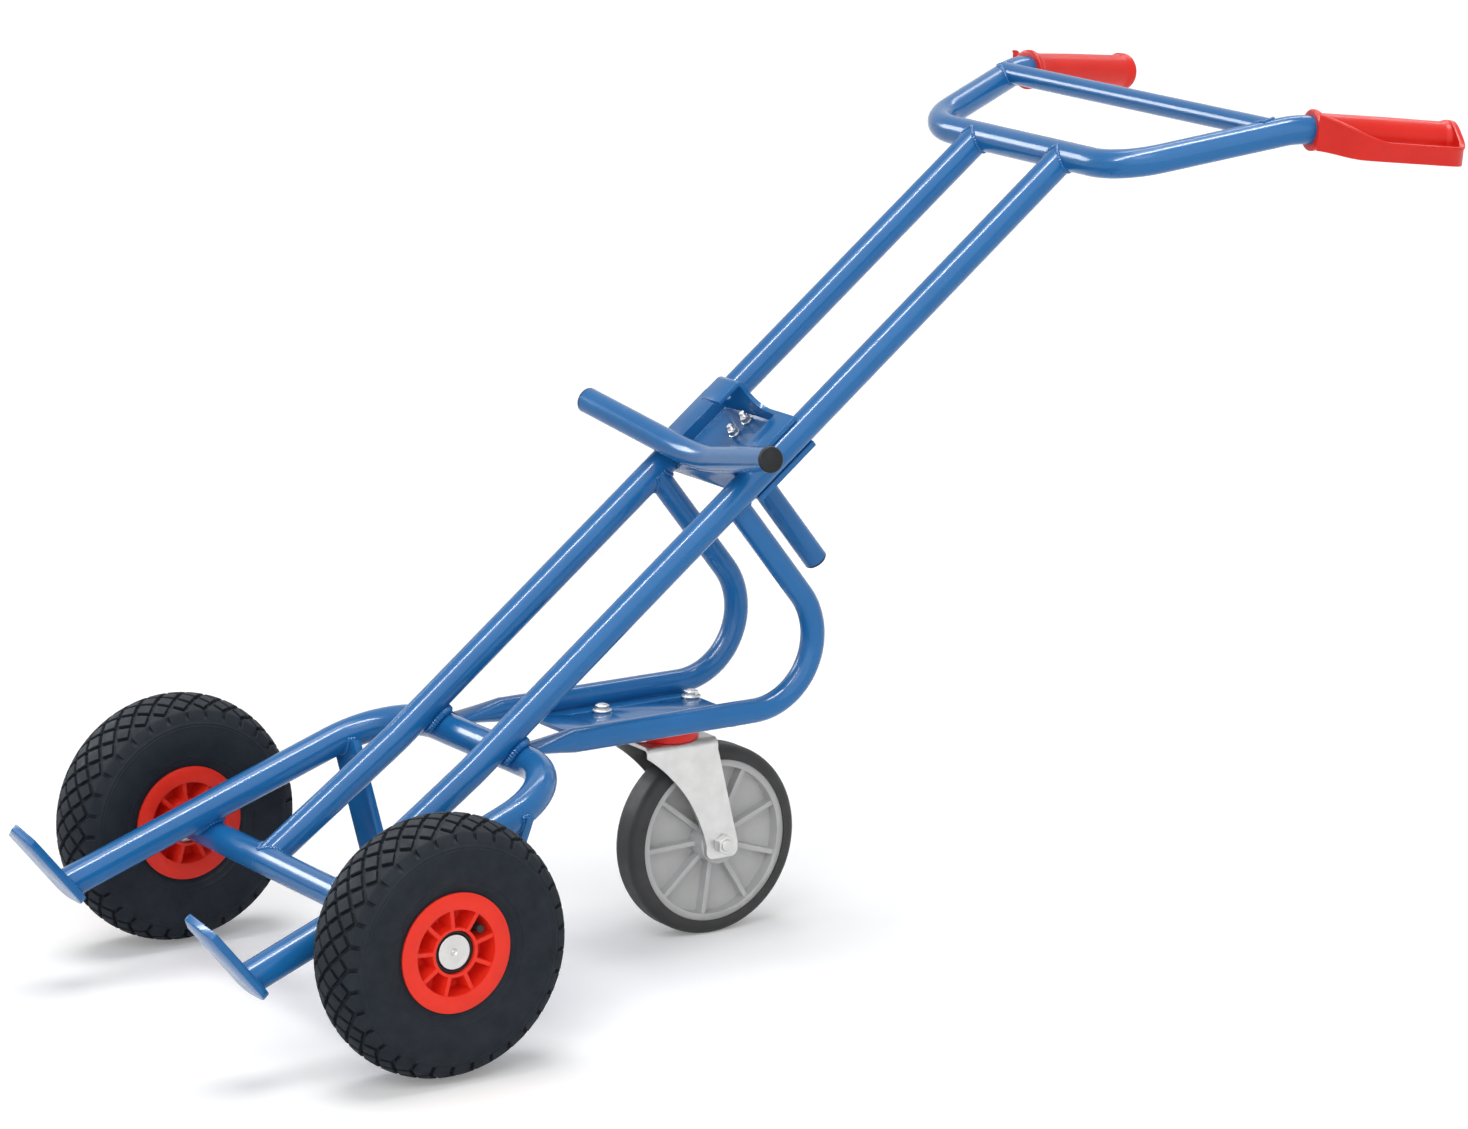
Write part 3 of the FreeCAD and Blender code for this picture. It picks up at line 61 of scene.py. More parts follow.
# Camera, measured in the photograph against the main axle's middle on the floor
CAMERA_FROM_AXLE = Vector((-2.676, -4.853, 1.758))
CAMERA_AZIMUTH = math.radians(-33.26)
CAMERA_ELEVATION = math.radians(13.33)
CAMERA_ROLL = math.radians(0.17)
PHOTO_WIDTH = 1468
FOCAL_PIXELS = 5841
SENSOR_WIDTH = 36
CAMERA_CLIP_END = 100

# Tyres
TYRE_SHOULDER_HALF = 33 * MM
TYRE_SHOULDER_DROP = 11 * MM
TYRE_CROWN_RADIUS = 58 * MM
TYRE_SIDE_RADIUS = 54 * MM
TYRE_BEAD_HALF = 28 * MM
TYRE_BEAD_RADIUS = 60 * MM
TYRE_BEAD_WIDTH = 10 * MM
TYRE_SEAT_RADIUS = 50.6 * MM
TREAD_AROUND = 33
TREAD_TURN = math.radians(4.1)
TREAD_OUTER_ROW = 2
TREAD_PITCH = 12 * MM
TREAD_LAST_REACH = 9.5 * MM
TREAD_DEPTH = 4.4 * MM
# Margin and lift of a block's outline, from its foot to its top
TREAD_RINGS = ((2.0 * MM, -4.9 * MM), (2.2 * MM, -0.5 * MM), (2.6 * MM, 0))
TREAD_HALF = 45.5 * MM
TREAD_RUN_OUT = 6 * MM
# Distances from the crown's middle at which a lug has its sections
LUG_ENDS = (27.2 * MM, 29.5 * MM, 31.7 * MM, 33.5 * MM, 35.1 * MM, 37 * MM, 39.5 * MM, 42 * MM, 45 * MM)
LUG_SLANT = 1.6
LUG_TIP = 0.2 * MM
RIDGE_WIDTH = 0.8 * MM
RIDGE_STEPS = 4
# Distance from the crown's middle and height of each ridge
SIDEWALL_RIDGES = ((49 * MM, 0.4 * MM), (52 * MM, 0.3 * MM), (84 * MM, 0.6 * MM), (90 * MM, 0.4 * MM))
TYRE_ARC_STEPS = 40
TYRE_LINE_STEPS = 44
TYRE_AROUND = 144
RIM_EDGE = 1.0 * MM
CAP_MARK = 2.6 * MM
CAP_INSET = 1 * MM
CAP_EDGE = 0.5 * MM
# Shares of the cap's radius
CAP_LIP = 0.86
CAP_LIP_FOOT = 0.80
# Shares of the cap's height
CAP_DISH = 0.94
CAP_MARK_FLOOR = 0.62
CAP_MARK_TIP = 0.92
# Shares of the mark's radius
CAP_MARK_RIM = 1.4
CAP_MARK_CORE = 0.5
VALVE_FOOT = 8 * MM
VALVE_EDGE = 1 * MM
# Shares of the foot's radius, or of the stem's, and of the valve's length
VALVE_FLARE = ((1, 0), (0.9, 0.2))
VALVE_STEM = ((1.2, 0.42), (1.1, 0.6), (0.8, 0.63), (1, 0.66), (0.94, 1))

# Grips
GRIP_SPLAY = math.radians(11.7)
GRIP_DROP = math.radians(6.7)
GRIP_LENGTH = 161 * MM
GRIP_RADIUS = 18 * MM
GRIP_FLANGE_RADIUS = 21.5 * MM
GRIP_END_RADIUS = 20 * MM
GRIP_BORE = 15.1 * MM
GRIP_FLANGE_THICKNESS = 5 * MM
GRIP_NECK = 11 * MM
GRIP_SWELL = 0.4 * MM
GRIP_END_THICKNESS = 6 * MM
GRIP_END_WALL = 3 * MM
GRIP_EDGE = 2.2 * MM
GUARD_REACH = 50 * MM
GUARD_WALL = 4.5 * MM
GUARD_FIRST_CORNER = (GRIP_FLANGE_RADIUS + 3 * MM, 9 * MM)
GUARD_RISE = 40 * MM
GUARD_CORNER = 21 * MM
GUARD_CORNER_STEPS = 10
GUARD_TOP_FRONT = 20 * MM
GUARD_TOP = -3 * MM
GUARD_BOTTOM_FRONT = -19 * MM
GUARD_BOTTOM = -23 * MM
GUARD_TOP_FALL = (-12 * MM, 72 * MM)
GUARD_END_RISE = (4 * MM, GUARD_REACH - 6 * MM)
GUARD_BOTTOM_FALL = (0, 40 * MM)
GUARD_STEP = 3 * MM
GUARD_EDGE = 0.8 * MM
GUARD_RIM = 0.9 * MM
GUARD_RIM_LOW = 2.8 * MM
GUARD_RIM_FOOT = 3.6 * MM

# Materials
# Mottle, smudge and grain are in features per metre, and depth is the grain's
FINISHES = {
    "blue_paint": dict(
        colours=((0.010, 0.126, 0.350), (0.013, 0.143, 0.390)), mottle=14,
        roughness=(0.2, 0.28), smudge=60, grain=420, depth=0.005 * MM,
        specular_ior_level=0.22, coat_weight=0.25, coat_roughness=0.07),
    "red_rim": dict(
        colours=((0.80, 0.026, 0.011), (0.87, 0.034, 0.015)), mottle=30,
        roughness=(0.34, 0.46), smudge=120, grain=1500, depth=0.03 * MM,
        specular_ior_level=0.3),
    "red_grip": dict(
        colours=((0.66, 0.013, 0.007), (0.72, 0.019, 0.010)), mottle=26,
        roughness=(0.3, 0.42), smudge=110, grain=1300, depth=0.04 * MM,
        specular_ior_level=0.3),
    "red_seal": dict(
        colours=((0.70, 0.014, 0.010), (0.77, 0.020, 0.014)), mottle=40,
        roughness=(0.3, 0.4), smudge=150, grain=1500, depth=0.02 * MM,
        specular_ior_level=0.3),
    "tyre_rubber": dict(
        colours=((0.010, 0.0145, 0.0205), (0.017, 0.0225, 0.030)), mottle=42,
        roughness=(0.6, 0.82), smudge=90, grain=900, depth=0.12 * MM,
        specular_ior_level=0.18),
    "tube_rubber": dict(
        colours=((0.010, 0.010, 0.011), (0.018, 0.018, 0.019)), mottle=60,
        roughness=(0.6, 0.75), smudge=90, grain=900, depth=0.1 * MM),
    "black_plastic": dict(
        colours=((0.014, 0.015, 0.016), (0.022, 0.023, 0.025)), mottle=80,
        roughness=(0.42, 0.55), smudge=200, grain=1500, depth=0.04 * MM,
        specular_ior_level=0.18),
    "zinc": dict(
        colours=((0.58, 0.58, 0.575), (0.68, 0.68, 0.67)), mottle=60,
        roughness=(0.3, 0.42), smudge=130, grain=420, depth=0.012 * MM,
        metallic=1.0),
    "grey_plastic": dict(
        colours=((0.42, 0.42, 0.42), (0.48, 0.48, 0.48)), mottle=30,
        roughness=(0.4, 0.52), smudge=140, grain=1400, depth=0.04 * MM),
    "castor_rubber": dict(
        colours=((0.032, 0.032, 0.033), (0.046, 0.046, 0.047)), mottle=45,
        roughness=(0.5, 0.66), smudge=100, grain=1000, depth=0.06 * MM,
        specular_ior_level=0.3),
    "bush_plastic": dict(
        colours=((0.52, 0.51, 0.48), (0.6, 0.59, 0.56)), mottle=60,
        roughness=(0.4, 0.5), smudge=150, grain=1400, depth=0.03 * MM),
}
NOISE_DETAIL = 3
NOISE_LOW = 0.25
NOISE_HIGH = 0.75

# Studio
WHITE = (1, 1, 1, 1)
FLOOR_COLOUR = 0.92
FLOOR_ROUGHNESS = 0.9
FLOOR_LIFT = 0.19
FLOOR_REACH = 30
WORLD_LIGHT = 0.35
# Name, direction that the light comes from, angle across in degrees, strength
SUNS = (
    ("overhead", (-0.05, 0.06, 1), 32, 1.3),
    ("key", (-0.62, -0.5, 0.75), 24, 0.35),
    ("fill", (-0.45, -0.85, 0.4), 80, 1.45),
)
# Name, place, target, length, width, power in watts
STRIPS = (
    ("gloss", (-0.95, -0.35, 3.2), (0, 0, 0.4), 4.4, 0.32, 200),
    ("back_gloss", (1.4, 1.1, 2.9), (0.3, 0, 0.6), 2.6, 0.4, 30),
    ("front_gloss", (-1.6, 2.4, 1.7), (0, 0, 0.5), 1.5, 1.0, 70),
)

# Meshes
MERGE_REACH = 0.02 * MM
ON_AXIS = 0.001 * MM
CORNER_SHARE = 0.45
PATH_FEWEST_STEPS = 8
PATH_SHORTEST_RUN = 1e-6 * MM
FLAT_ANGLE = math.radians(0.5)
SHARP_ANGLE = math.radians(30)

# Plates, hook and castor
# Nodes that only get rounded edges, with the width of the rounding
ROUNDED_NODES = {
    "hook_block": 2.2 * MM,
    "hook_back_plate": 1.6 * MM,
    "left_toe_blade": 1 * MM,
    "right_toe_blade": 1 * MM,
    "tilt_step": 1.2 * MM,
    "cradle_plate": 0.9 * MM,
    "castor_mount_plate": 0.8 * MM,
    "castor_top_plate": 0.7 * MM,
    "castor_wheel_centre": 1.4 * MM,
    "castor_nuts": 0.7 * MM,
    "castor_washers": 0.3 * MM,
    "castor_axle_nut": 0.9 * MM,
    "castor_axle_bolt": 0.9 * MM,
    "left_cradle_cap": 0.8 * MM,
    "right_cradle_cap": 0.8 * MM,
    "hook_lever_cap": 0.8 * MM,
    "castor_seal_ring": 1.2 * MM,
    "hub_rings": 0.5 * MM,
}
THREAD_PITCH = 1.25 * MM
THREAD_DEPTH = 0.6 * MM
HOOK_HEAD = 5.5 * MM
HOOK_NUT = 9.2 * MM
HOOK_NUT_CHAMFER = 1.2 * MM
CHAMFER_RISE = 0.6
HOOK_WASHER = 6 * MM
HOOK_WASHER_THICKNESS = 1.6 * MM
HOOK_WASHER_EDGE = 0.4 * MM
HOOK_BOLT = 3.4 * MM
HOOK_THREAD = 6.5 * MM
FORK_EDGE = 0.9 * MM
FORK_CREASE = 48 * MM
FORK_CUT_REACH = 0.01 * MM
FORK_SKIN = 1.5 * MM
FORK_SLOPE = 0.1
FORK_SINK = 2 * MM

# Welds
SEAM_REACH = 0.7 * MM
SEAM_ANGLE = math.radians(25)
SEAM_APART = 8 * MM
SEAM_SHORTEST = 12 * MM
BEAD_RADIUS = 2.1 * MM
BEAD_SIDES = 8
BEAD_RIPPLE = 0.16
BEAD_PITCH = 2.8 * MM
BEAD_STEPS = 4
BEAD_SMOOTHING = 3
CROSSING_GAP = 7 * MM
CROSSING_BEAD = 4 * MM
CROSSING_STEPS = 48
HOOP_RADIUS = 16 * MM
HOOP_HALF = 188.5 * MM
HOOP_ANGLE = math.radians(20)
RAIL_RADIUS = 15 * MM
RAIL_HALF = 75 * MM
RAIL_ANGLE = math.radians(37.7)
AXLE_TUBE_RADIUS = 15 * MM


def box_middle(node):
    low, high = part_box(node)
    return (low + high) / 2


# Materials

def socket(shader, **values):
    """Sets a shader's inputs, which are named in small letters."""
    for name, value in values.items():
        shader.inputs[name.replace("_", " ").title().replace("Ior", "IOR")].default_value = value


def noise(tree, where, scale):
    """Noise in the piece's own space; scale is in features per metre."""
    texture = tree.nodes.new("ShaderNodeTexNoise")
    texture.inputs["Scale"].default_value = scale
    texture.inputs["Detail"].default_value = NOISE_DETAIL
    tree.links.new(where, texture.inputs["Vector"])
    return texture.outputs["Fac"]


def between(tree, factor, low, high):
    """The middle of the noise's range spread over the range from low to high."""
    ranged = tree.nodes.new("ShaderNodeMapRange")
    ranged.inputs["From Min"].default_value = NOISE_LOW
    ranged.inputs["From Max"].default_value = NOISE_HIGH
    ranged.inputs["To Min"].default_value = low
    ranged.inputs["To Max"].default_value = high
    tree.links.new(factor, ranged.inputs["Value"])
    return ranged.outputs["Result"]


def blend_colours(tree, factor, first, second):
    mixed = tree.nodes.new("ShaderNodeMix")
    mixed.data_type = "RGBA"
    mixed.inputs["A"].default_value = (*first, 1)
    mixed.inputs["B"].default_value = (*second, 1)
    tree.links.new(factor, mixed.inputs["Factor"])
    return mixed.outputs["Result"]


def bumped(tree, factor, depth):
    bump = tree.nodes.new("ShaderNodeBump")
    bump.inputs["Strength"].default_value = 1
    bump.inputs["Distance"].default_value = depth
    tree.links.new(factor, bump.inputs["Height"])
    return bump.outputs["Normal"]


def make_finish(name, colours, mottle, roughness, smudge, grain, depth, **values):
    """A material with mottled colour, uneven roughness and a fine grain."""
    made = bpy.data.materials.new(name)
    made.use_nodes = True
    tree = made.node_tree
    shader = tree.nodes["Principled BSDF"]
    where = tree.nodes.new("ShaderNodeTexCoord").outputs["Object"]
    factor = between(tree, noise(tree, where, mottle), 0, 1)
    tree.links.new(blend_colours(tree, factor, *colours), shader.inputs["Base Color"])
    rough = between(tree, noise(tree, where, smudge), *roughness)
    tree.links.new(rough, shader.inputs["Roughness"])
    normal = bumped(tree, noise(tree, where, grain), depth)
    tree.links.new(normal, shader.inputs["Normal"])
    socket(shader, **values)
    return made


finishes = {name: make_finish(name, **look) for name, look in FINISHES.items()}


def paint(piece, slot):
    piece.data.materials.clear()
    piece.data.materials.append(finishes[slot])


for node_name, node in nodes.items():
    paint(node, slot_of[node_name])


# Mesh tools

def piece_of(name, mesh, smooth_angle=35):
    """A new object from a bmesh, shaded smooth except over sharp edges."""
    bmesh.ops.recalc_face_normals(mesh, faces=mesh.faces)
    data = bpy.data.meshes.new(name)
    mesh.to_mesh(data)
    mesh.free()
    data.polygons.foreach_set("use_smooth", [True] * len(data.polygons))
    data.set_sharp_from_angle(angle=math.radians(smooth_angle))
    made = bpy.data.objects.new(name, data)
    bpy.context.scene.collection.objects.link(made)
    return made


def dress(piece, *replaced):
    """The piece stands for CAD nodes of one body, with their finish."""
    slot = slot_of[replaced[0]]
    paint(piece, slot)
    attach(piece, body_of[replaced[0]])
    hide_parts(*replaced)


def add(piece, body, slot):
    """A piece beside the CAD nodes, on one body."""
    paint(piece, slot)
    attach(piece, body)


def merged(node):
    mesh = bmesh.new()
    mesh.from_mesh(nodes[node].data)
    bmesh.ops.remove_doubles(mesh, verts=mesh.verts, dist=MERGE_REACH)
    return mesh


def soften(points, radius, steps=4):
    """The points with each inner corner rounded by a short curve."""
    made = [points[0]]
    for before, corner, after in zip(points, points[1:], points[2:]):
        before, corner, after = Vector(before), Vector(corner), Vector(after)
        shorter = min((before - corner).length, (after - corner).length)
        reach = min(radius, shorter * CORNER_SHARE)
        start = corner + (before - corner).normalized() * reach
        end = corner + (after - corner).normalized() * reach
        for step in range(steps + 1):
            t = step / steps
            made.append(start * (1 - t) ** 2 + corner * 2 * t * (1 - t) + end * t ** 2)
    made.append(points[-1])
    return [tuple(place) for place in made]


def turned(mesh, profile, centre, axis, start, steps=96):
    """Adds a profile of (radius, distance along the axis) turned about an axis."""
    side = axis.cross(start)
    rings = []
    for radius, along in profile:
        middle = centre + axis * along
        if radius < ON_AXIS:
            rings.append([mesh.verts.new(middle)])
            continue
        ring = []
        for step in range(steps):
            turn = 2 * math.pi * step / steps
            ring.append(mesh.verts.new(middle + (start * math.cos(turn) + side * math.sin(turn)) * radius))
        rings.append(ring)
    for low, high in zip(rings, rings[1:]):
        for step in range(steps):
            after = (step + 1) % steps
            corners = (low[step % len(low)], low[after % len(low)],
                       high[after % len(high)], high[step % len(high)])
            face = list(dict.fromkeys(corners))
            if len(face) > 2:
                mesh.faces.new(face)


def skin(mesh, rings):
    """Joins each ring of vertices to the next one with four-sided faces."""
    for low, high in zip(rings, rings[1:]):
        for step in range(len(low)):
            after = (step + 1) % len(low)
            mesh.faces.new((low[step], low[after], high[after], high[step]))


def softened(node, width):
    """A copy of a CAD node's mesh with its sharp edges rounded."""
    mesh = merged(node)
    bmesh.ops.dissolve_limit(mesh, angle_limit=FLAT_ANGLE, verts=mesh.verts, edges=mesh.edges)
    sharp = [edge for edge in mesh.edges
             if len(edge.link_faces) == 2 and edge.calc_face_angle() > SHARP_ANGLE]
    bmesh.ops.bevel(mesh, geom=sharp, offset=width, segments=2, profile=0.5, affect="EDGES",
                    clamp_overlap=True)
    return mesh


def rounded(node, width):
    """A piece with rounded edges in a CAD node's place."""
    dress(piece_of(node + "_rounded", softened(node, width)), node)


# Welds

def walk(vertex, links, left):
    """The vertices that unused edges lead to, one after the other; the edges are used up."""
    while True:
        edge = next((edge for edge in links[vertex] if edge in left), None)
        if edge is None:
            return
        left.discard(edge)
        vertex = edge.other_vert(vertex)
        yield vertex


def chains(edges):
    """Edges joined end to end, as lists of points with whether each is closed."""
    links = {}
    for edge in edges:
        for vertex in edge.verts:
            links.setdefault(vertex, []).append(edge)
    left = set(edges)
    made = []
    while left:
        edge = min(left, key=lambda item: item.index)
        left.discard(edge)
        first, last = edge.verts
        path = [first, last, *walk(last, links, left)]
        path = [*walk(first, links, left)][::-1] + path
        made.append(([vertex.co.copy() for vertex in path], path[0] == path[-1]))
    return made


def length_of(points):
    return sum((after - before).length for before, after in zip(points, points[1:]))


def seams(node, other):
    """The outer edges of one node's ends that lie on another node."""
    mesh = merged(node)
    mesh.edges.index_update()
    against = merged(other)
    tree = BVHTree.FromBMesh(against)
    near = {vertex for vertex in mesh.verts if tree.find_nearest(vertex.co)[3] < SEAM_REACH}
    edges = [edge for edge in mesh.edges
             if len(edge.link_faces) == 2 and edge.calc_face_angle() > SEAM_ANGLE
             and edge.verts[0] in near and edge.verts[1] in near]
    found = sorted(chains(edges), key=lambda chain: -length_of(chain[0]))
    kept = []
    for points, closed in found:
        middle = sum(points, Vector()) / len(points)
        apart = all((middle - other_middle).length > SEAM_APART for _, _, other_middle in kept)
        if apart and length_of(points) > SEAM_SHORTEST:
            kept.append((points, closed, middle))
    mesh.free()
    against.free()
    return [(points, closed) for points, closed, _ in kept]


def evenly(points, spacing):
    """The path's points again, evenly spaced."""
    total = length_of(points)
    count = max(PATH_FEWEST_STEPS, round(total / spacing))
    made = []
    travelled = 0
    index = 0
    for step in range(count + 1):
        target = total * step / count
        run = points[index + 1] - points[index]
        while index < len(points) - 2 and travelled + run.length < target:
            travelled += run.length
            index += 1
            run = points[index + 1] - points[index]
        share = (target - travelled) / max(run.length, PATH_SHORTEST_RUN)
        made.append(points[index] + run * min(max(share, 0), 1))
    return made


def neighbours(path, closed):
    """Each point of a path between the ones before and after it."""
    last = len(path) - 1
    for index, place in enumerate(path):
        before = path[index - 1] if closed or index else place
        after = path[(index + 1) % len(path)] if closed or index < last else place
        yield before, place, after


def add_bead(mesh, points, closed, radius=BEAD_RADIUS):
    """A rippled weld bead along a path."""
    path = evenly(points, BEAD_PITCH / BEAD_STEPS)
    if closed:
        path = path[:-1]
    for _ in range(BEAD_SMOOTHING):
        path = [(before + place * 2 + after) / 4 for before, place, after in neighbours(path, closed)]
    rings = []
    across = None
    for index, (before, place, after) in enumerate(neighbours(path, closed)):
        ahead = (after - before).normalized()
        if across is None:
            across = ahead.orthogonal()
        across = (across - ahead * across.dot(ahead)).normalized()
        beside = ahead.cross(across)
        swell = radius * (1 + BEAD_RIPPLE * math.sin(2 * math.pi * index / BEAD_STEPS))
        rings.append([mesh.verts.new(place + (across * math.cos(turn) + beside * math.sin(turn)) * swell)
                      for turn in (2 * math.pi * side / BEAD_SIDES for side in range(BEAD_SIDES))])
    skin(mesh, rings)
    if closed:
        last = rings[-1]
        turns = [rings[0][side:] + rings[0][:side] for side in range(BEAD_SIDES)]
        skin(mesh, [last, min(turns, key=lambda ring: sum((one.co - other.co).length
                                                          for one, other in zip(last, ring)))])
    else:
        mesh.faces.new(rings[0])
        mesh.faces.new(rings[-1])


def weld(name, *pairs):
    """The beads between pairs of frame nodes, as one piece."""
    mesh = bmesh.new()
    for node, other in pairs:
        for points, closed in seams(node, other):
            add_bead(mesh, points, closed)
    add(piece_of(name, mesh, smooth_angle=60), body_of[pairs[0][0]], "blue_paint")


def heading(angle):
    """A direction in the XZ plane, by its angle above +X."""
    return FORWARD * math.cos(angle) + UP * math.sin(angle)


def add_crossing(mesh, touch, first, first_radius, second, second_radius):
    """A ring of weld in the gap round the place where two tubes cross and touch.

    First and second are the tubes' directions. The second tube lies on the side of their cross product.
    """
    across = first.cross(second)
    long = math.sqrt(2 * second_radius * CROSSING_GAP)
    wide = math.sqrt(2 * first_radius * CROSSING_GAP)
    path = []
    for step in range(CROSSING_STEPS + 1):
        turn = 2 * math.pi * step / CROSSING_STEPS
        ahead = long * math.cos(turn)
        beside = wide * math.sin(turn)
        lift = (ahead ** 2 / second_radius - beside ** 2 / first_radius) / 4
        path.append(touch + first * ahead + second * beside + across * lift)
    add_bead(mesh, path, True, CROSSING_BEAD)


def make_crossings():
    axle = box_middle("axle")
    _, hoop_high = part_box("toe_hoop")
    bar = Vector((hoop_high.x - HOOP_RADIUS, 0, hoop_high.z - HOOP_RADIUS))
    arm = heading(HOOP_ANGLE)
    rail = heading(RAIL_ANGLE)
    mesh = bmesh.new()
    for _, side in SIDES:
        touch = axle + heading(HOOP_ANGLE + math.pi / 2) * AXLE_TUBE_RADIUS + ACROSS * side * HOOP_HALF
        add_crossing(mesh, touch, ACROSS, AXLE_TUBE_RADIUS, -arm, HOOP_RADIUS)
        touch = bar + heading(RAIL_ANGLE + math.pi / 2) * HOOP_RADIUS + ACROSS * side * RAIL_HALF
        add_crossing(mesh, touch, ACROSS, HOOP_RADIUS, -rail, RAIL_RADIUS)
    add(piece_of("crossing_welds", mesh, smooth_angle=60), "frame", "blue_paint")


def make_welds():
    weld("rail_welds", ("left_rail", "axle_tube"), ("right_rail", "axle_tube"),
         ("left_rail", "handle_bow"), ("right_rail", "handle_bow"))
    weld("stay_welds", ("left_castor_stay", "left_rail"), ("right_castor_stay", "right_rail"),
         ("left_castor_stay", "toe_hoop"), ("right_castor_stay", "toe_hoop"))
    weld("toe_welds", ("toe_hoop", "left_toe_blade"), ("toe_hoop", "right_toe_blade"),
         ("tilt_step", "toe_hoop"))
    weld("crossbar_welds", ("handle_crossbar", "handle_bow"))


# Plates, hook and castor

def hexagon(mesh, centre, axis, start, width, height, chamfer):
    """Adds a hexagon nut with chamfered top corners."""
    side = axis.cross(start)
    corner = width / math.sqrt(3)
    sections = ((corner, 0), (corner, height - chamfer * CHAMFER_RISE), (corner - chamfer, height))
    rings = []
    for radius, along in sections:
        ring = []
        for step in range(6):
            turn = math.pi * step / 3
            outward = start * math.cos(turn) + side * math.sin(turn)
            ring.append(mesh.verts.new(centre + outward * radius + axis * along))
        rings.append(ring)
    skin(mesh, rings)
    mesh.faces.new(rings[0][::-1])
    mesh.faces.new(rings[-1])


def add_thread(mesh, centre, axis, start, radius, length):
    """A threaded end: a turned rod with a ridge at each pitch and a chamfered tip."""
    profile = [(0, 0), (radius, 0)]
    for turn in range(int(length / THREAD_PITCH) - 1):
        profile.append((radius - THREAD_DEPTH, THREAD_PITCH * (turn + 0.5)))
        profile.append((radius, THREAD_PITCH * (turn + 1)))
    profile += [(radius - THREAD_DEPTH, length), (0, length)]
    turned(mesh, profile, centre, axis, start, steps=32)


def make_hook_bolts():
    """Nuts on washers, with the bolts' threaded ends standing out of them."""
    front = heading(RAIL_ANGLE + math.pi / 2)
    along = heading(RAIL_ANGLE)
    mesh = bmesh.new()
    places = [vertex.co for vertex in nodes["hook_bolts"].data.vertices]
    top = max(place.dot(front) for place in places)
    low = min(place.dot(front) for place in places)
    middle = box_middle("hook_bolts").dot(along)
    for side in (-1, 1):
        members = [place.dot(along) for place in places if (place.dot(along) - middle) * side > 0]
        centre = along * ((min(members) + max(members)) / 2)
        seat = centre + front * (top - HOOK_HEAD)
        washer = [(0, 0), (HOOK_WASHER, 0), (HOOK_WASHER, HOOK_WASHER_THICKNESS),
                  (0, HOOK_WASHER_THICKNESS)]
        turned(mesh, soften(washer, HOOK_WASHER_EDGE), seat, front, along, steps=48)
        hexagon(mesh, seat + front * HOOK_WASHER_THICKNESS, front, along,
                HOOK_NUT, HOOK_HEAD, HOOK_NUT_CHAMFER)
        add_thread(mesh, seat + front * HOOK_HEAD, front, along, HOOK_BOLT, HOOK_THREAD)
        shank = top - HOOK_HEAD - low
        turned(mesh, [(0, 0), (HOOK_BOLT, 0), (HOOK_BOLT, shank), (0, shank)],
               centre + front * low, front, along, steps=32)
    dress(piece_of("hook_nuts", mesh, smooth_angle=25), "hook_bolts")


def make_fork():
    """The fork with softened edges and a pressed crease down each leg."""
    mesh = softened("castor_fork", FORK_EDGE)
    low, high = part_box("castor_fork")
    crease = low.x + FORK_CREASE
    bmesh.ops.bisect_plane(mesh, geom=mesh.verts[:] + mesh.edges[:] + mesh.faces[:],
                           dist=FORK_CUT_REACH, plane_co=(crease, 0, 0), plane_no=(1, 0, 0))
    for vertex in mesh.verts:
        behind = crease - vertex.co.x
        if behind > 0 and abs(vertex.co.y) > high.y - FORK_SKIN:
            vertex.co.y -= math.copysign(min(behind * FORK_SLOPE, FORK_SINK), vertex.co.y)
    dress(piece_of("pressed_fork", mesh, smooth_angle=4), "castor_fork")


def make_plates():
    for node, width in ROUNDED_NODES.items():
        rounded(node, width)
    make_hook_bolts()
    make_fork()


# Wheels

def arc(start, end, radius, steps):
    """Points on an arc from start to end that bulges to the left of its chord."""
    chord = end - start
    left = Vector((-chord.y, chord.x)).normalized()
    centre = (start + end) / 2 - left * math.sqrt(radius ** 2 - chord.length_squared / 4)
    half = math.asin(chord.length / 2 / radius)
    turns = [half * (2 * step / steps - 1) for step in range(steps + 1)]
    ahead = chord.normalized()
    return [centre + (left * math.cos(turn) + ahead * math.sin(turn)) * radius for turn in turns]


class Line:
    """A flat path that gives the place and the outward normal at a distance along it."""

    def __init__(self, points):
        self.points = points
        self.at = [0]
        for before, after in zip(points, points[1:]):
            self.at.append(self.at[-1] + (after - before).length)

    def __call__(self, distance):
        index = 0
        while index < len(self.points) - 2 and self.at[index + 1] < distance:
            index += 1
        run = (self.points[index + 1] - self.points[index]).normalized()
        return self.points[index] + run * (distance - self.at[index]), Vector((-run.y, run.x))


def smooth_step(value, low, high):
    share = min(max((value - low) / (high - low), 0), 1)
    return share * share * (3 - 2 * share)


def tyre_line(outer):
    """The tyre's outer line from the middle of its crown to its bead, as (across, radius)."""
    shoulder = Vector((TYRE_SHOULDER_HALF, outer - TYRE_SHOULDER_DROP))
    other = Vector((-shoulder.x, shoulder.y))
    bead = Vector((TYRE_BEAD_HALF, TYRE_BEAD_RADIUS))
    half_crown = arc(other, shoulder, TYRE_CROWN_RADIUS, TYRE_ARC_STEPS)[TYRE_ARC_STEPS // 2:]
    return Line(half_crown[:-1] + arc(shoulder, bead, TYRE_SIDE_RADIUS, TYRE_ARC_STEPS))


def ridge_height(distance):
    """How far the sidewall's ridges stand up at a distance from the crown."""
    return sum(height * math.exp(-((distance - place) / RIDGE_WIDTH) ** 2)
               for place, height in SIDEWALL_RIDGES)


